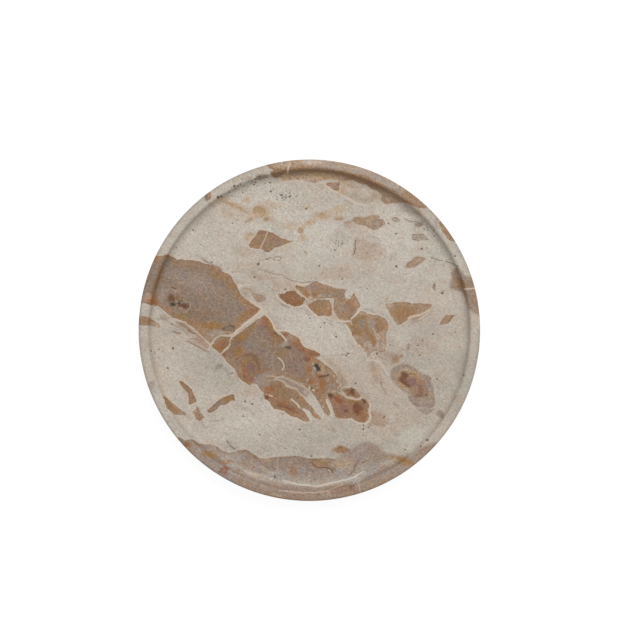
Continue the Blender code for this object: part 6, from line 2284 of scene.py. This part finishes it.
@dataclass(frozen=True)
class Foot:
    """One foot: a felt disc that stands on the table, bonded to the stone by a disc of foam tape.

    Lengths in millimetres. The felt stays clear of its CAD node's wall and base by its fibre room and
    lift. The tape's adhesive film, on both faces, reaches over the bond gap.
    """

    place: str
    edge_round: float = 0.5
    fibre_room: float = 0.35
    lift: float = 0.05
    top_ease: float = 0.2
    bumps: Layers = (Layer(0.12, 1.7, 41), Layer(0.1, 4.0, 42))
    bond: float = 0.28
    film: float = 0.12
    film_margin: float = 0.4
    crease: float = math.radians(40)
    cells: int = 20
    side_rings: int = 4
    edge_steps: int = 3

    def build(self, felt: bpy.types.Material, tape: bpy.types.Material) -> None:
        """Builds the felt and the tape in the places of their CAD nodes.

        Args:
            felt: The felt's material.
            tape: The tape's material.
        """
        self._felt(felt)
        self._tape(tape)

    def _felt(self, finish: bpy.types.Material) -> None:
        """Makes the felt disc, a little inside its CAD node so that its fibres have room."""
        node = f"felt_pad_{self.place}"
        low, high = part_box(node)
        centre, radius = (low + high) / 2 / MM, (high.x - low.x) / 2 / MM - self.fibre_room
        ease, top, base = self.edge_round, high.z / MM, low.z / MM + self.lift
        wall = np.linspace(top - self.top_ease, base + ease, self.side_rings)
        section = (
            ((radius - self.top_ease, top),)
            + tuple((radius, float(height)) for height in wall)
            + arc((radius - ease, base + ease), (ease, ease), 0, -90, self.edge_steps)
            + ((radius - 2 * ease, base),)
        )
        points, faces = Turning(section, self.cells).net()
        points[:, :2] *= 1 + (layered(points, self.bumps) / radius)[:, None]
        points += (centre.x, centre.y, 0)
        disc = make_piece(f"felt_disc_{self.place}", points, faces, finish)
        piece = FeltFibres().cover(disc, low.z, high.z)
        declare(piece, node)

    def _tape(self, finish: bpy.types.Material) -> None:
        """Makes the tape disc, with its film of adhesive on both faces, which fills the bond gaps."""
        node = f"tape_disc_{self.place}"
        low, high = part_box(node)
        centre, radius = (low + high) / 2 / MM, (high.x - low.x) / 2 / MM
        base, top, film = low.z / MM - self.bond, high.z / MM + self.bond, self.film
        section = (
            (radius - self.film_margin, top),
            (radius - film, top),
            (radius - film, top - film),
            (radius, top - 2 * film),
            (radius, (base + top) / 2),
            (radius, base + 2 * film),
            (radius - film, base + film),
            (radius - film, base),
            (radius - self.film_margin, base),
        )
        points, faces = Turning(section, self.cells).net()
        points += (centre.x, centre.y, 0)
        piece = make_piece(f"foam_tape_{self.place}", points, faces, finish)
        piece.data.set_sharp_from_angle(angle=self.crease)
        declare(piece, node)


@dataclass(frozen=True)
class Studio:
    """The white sweep, its soft light from the back, and the camera over the tray.

    Lengths are in metres, and angles in radians.
    """

    floor_size: float = 6.0
    floor_height: float = -0.00005
    sweep: str = "#EDEDED"
    own_light: float = 0.88
    glow: float = 1.06
    dome: float = 0.478
    key: float = 1.91
    key_height: float = math.radians(60)
    key_bearing: float = math.radians(74)
    key_softness: float = math.radians(36)
    frame_width: float = 0.562
    frame_centre: tuple[float, float] = (0.00934, 0.009)
    distance: float = 3.0

    def build(self, rim_height: float) -> None:
        """Sets up the floor, the light and the camera.

        Args:
            rim_height: Height of the tray's rim, where the frame has its width.
        """
        scene = bpy.context.scene
        scene.view_settings.view_transform = "Standard"
        self._floor()
        self._world(scene)
        self._key_lamp(scene)
        data = bpy.data.cameras.new("camera")
        data.lens = data.sensor_width * self.distance / self.frame_width
        camera = bpy.data.objects.new("camera", data)
        camera.location = (*self.frame_centre, rim_height + self.distance)
        scene.collection.objects.link(camera)
        scene.camera = camera
        width = self.frame_width / IMAGE_WIDTH / MM
        LOG.info("camera: %.0f mm lens, %.3f mm to a pixel at the rim", data.lens, width)

    @staticmethod
    def _seen(nodes: Nodes) -> Socket:
        """Returns 1 for the rays that show a background: those to the camera, in gloss and through glass."""
        ray = nodes.add("ShaderNodeLightPath").outputs
        either = nodes.math("MAXIMUM", ray["Is Camera Ray"], ray["Is Glossy Ray"])
        return nodes.math("MAXIMUM", either, ray["Is Transmission Ray"])

    def _floor(self) -> None:
        """Lays the white sweep under the tray, bright of itself but still taking a faint shadow."""
        half, height = self.floor_size / 2 / MM, self.floor_height / MM
        corners = np.array(
            [(-half, -half, height), (half, -half, height), (half, half, height), (-half, half, height)]
        )
        material, nodes = Nodes.of_material("matt_white_sweep")
        paper = nodes.add("ShaderNodeBsdfDiffuse", None, {"Color": linear(self.sweep)}).outputs[0]
        glow = nodes.add("ShaderNodeEmission", None, {"Strength": self.glow}).outputs[0]
        share = nodes.math("MULTIPLY", self._seen(nodes), self.own_light)
        both = nodes.add("ShaderNodeMixShader", None, {0: share, 1: paper, 2: glow}).outputs[0]
        nodes.add("ShaderNodeOutputMaterial", None, {"Surface": both})
        make_piece("floor", corners, [(0, 1, 2, 3)], material)

    def _world(self, scene: bpy.types.Scene) -> None:
        """Makes the dome of soft light, which shows as white."""
        world = bpy.data.worlds.new("studio_dome")
        world.use_nodes = True
        world.node_tree.nodes.clear()
        nodes = Nodes(world.node_tree)
        strength = nodes.math("MULTIPLY_ADD", self._seen(nodes), 1 - self.dome, self.dome)
        light = {"Color": (1, 1, 1, 1), "Strength": strength}
        sky = nodes.add("ShaderNodeBackground", None, light).outputs[0]
        nodes.add("ShaderNodeOutputWorld", None, {"Surface": sky})
        scene.world = world

    def _key_lamp(self, scene: bpy.types.Scene) -> None:
        """Hangs the large soft lamp behind the tray."""
        lamp = bpy.data.lights.new("key", "SUN")
        lamp.energy, lamp.angle = self.key, self.key_softness
        key = bpy.data.objects.new("key", lamp)
        flat = math.cos(self.key_height)
        toward = (
            flat * math.cos(self.key_bearing),
            flat * math.sin(self.key_bearing),
            math.sin(self.key_height),
        )
        key.rotation_mode = "QUATERNION"
        key.rotation_quaternion = Vector(toward).to_track_quat("Z", "Y")
        scene.collection.objects.link(key)


def main() -> None:
    """Builds the tray on the CAD frame, then its feet and the studio."""
    logging.basicConfig(level=logging.INFO, format="%(name)s: %(message)s")
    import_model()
    tray = StoneTray()
    tray.build()
    felt, tape = WoolFelt().material(), FoamTape().material()
    for place in ("back_right", "back_left", "front_left", "front_right"):
        Foot(place).build(felt, tape)
    Studio().build(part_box(tray.node)[1].z)


if __name__ == "__main__":
    main()
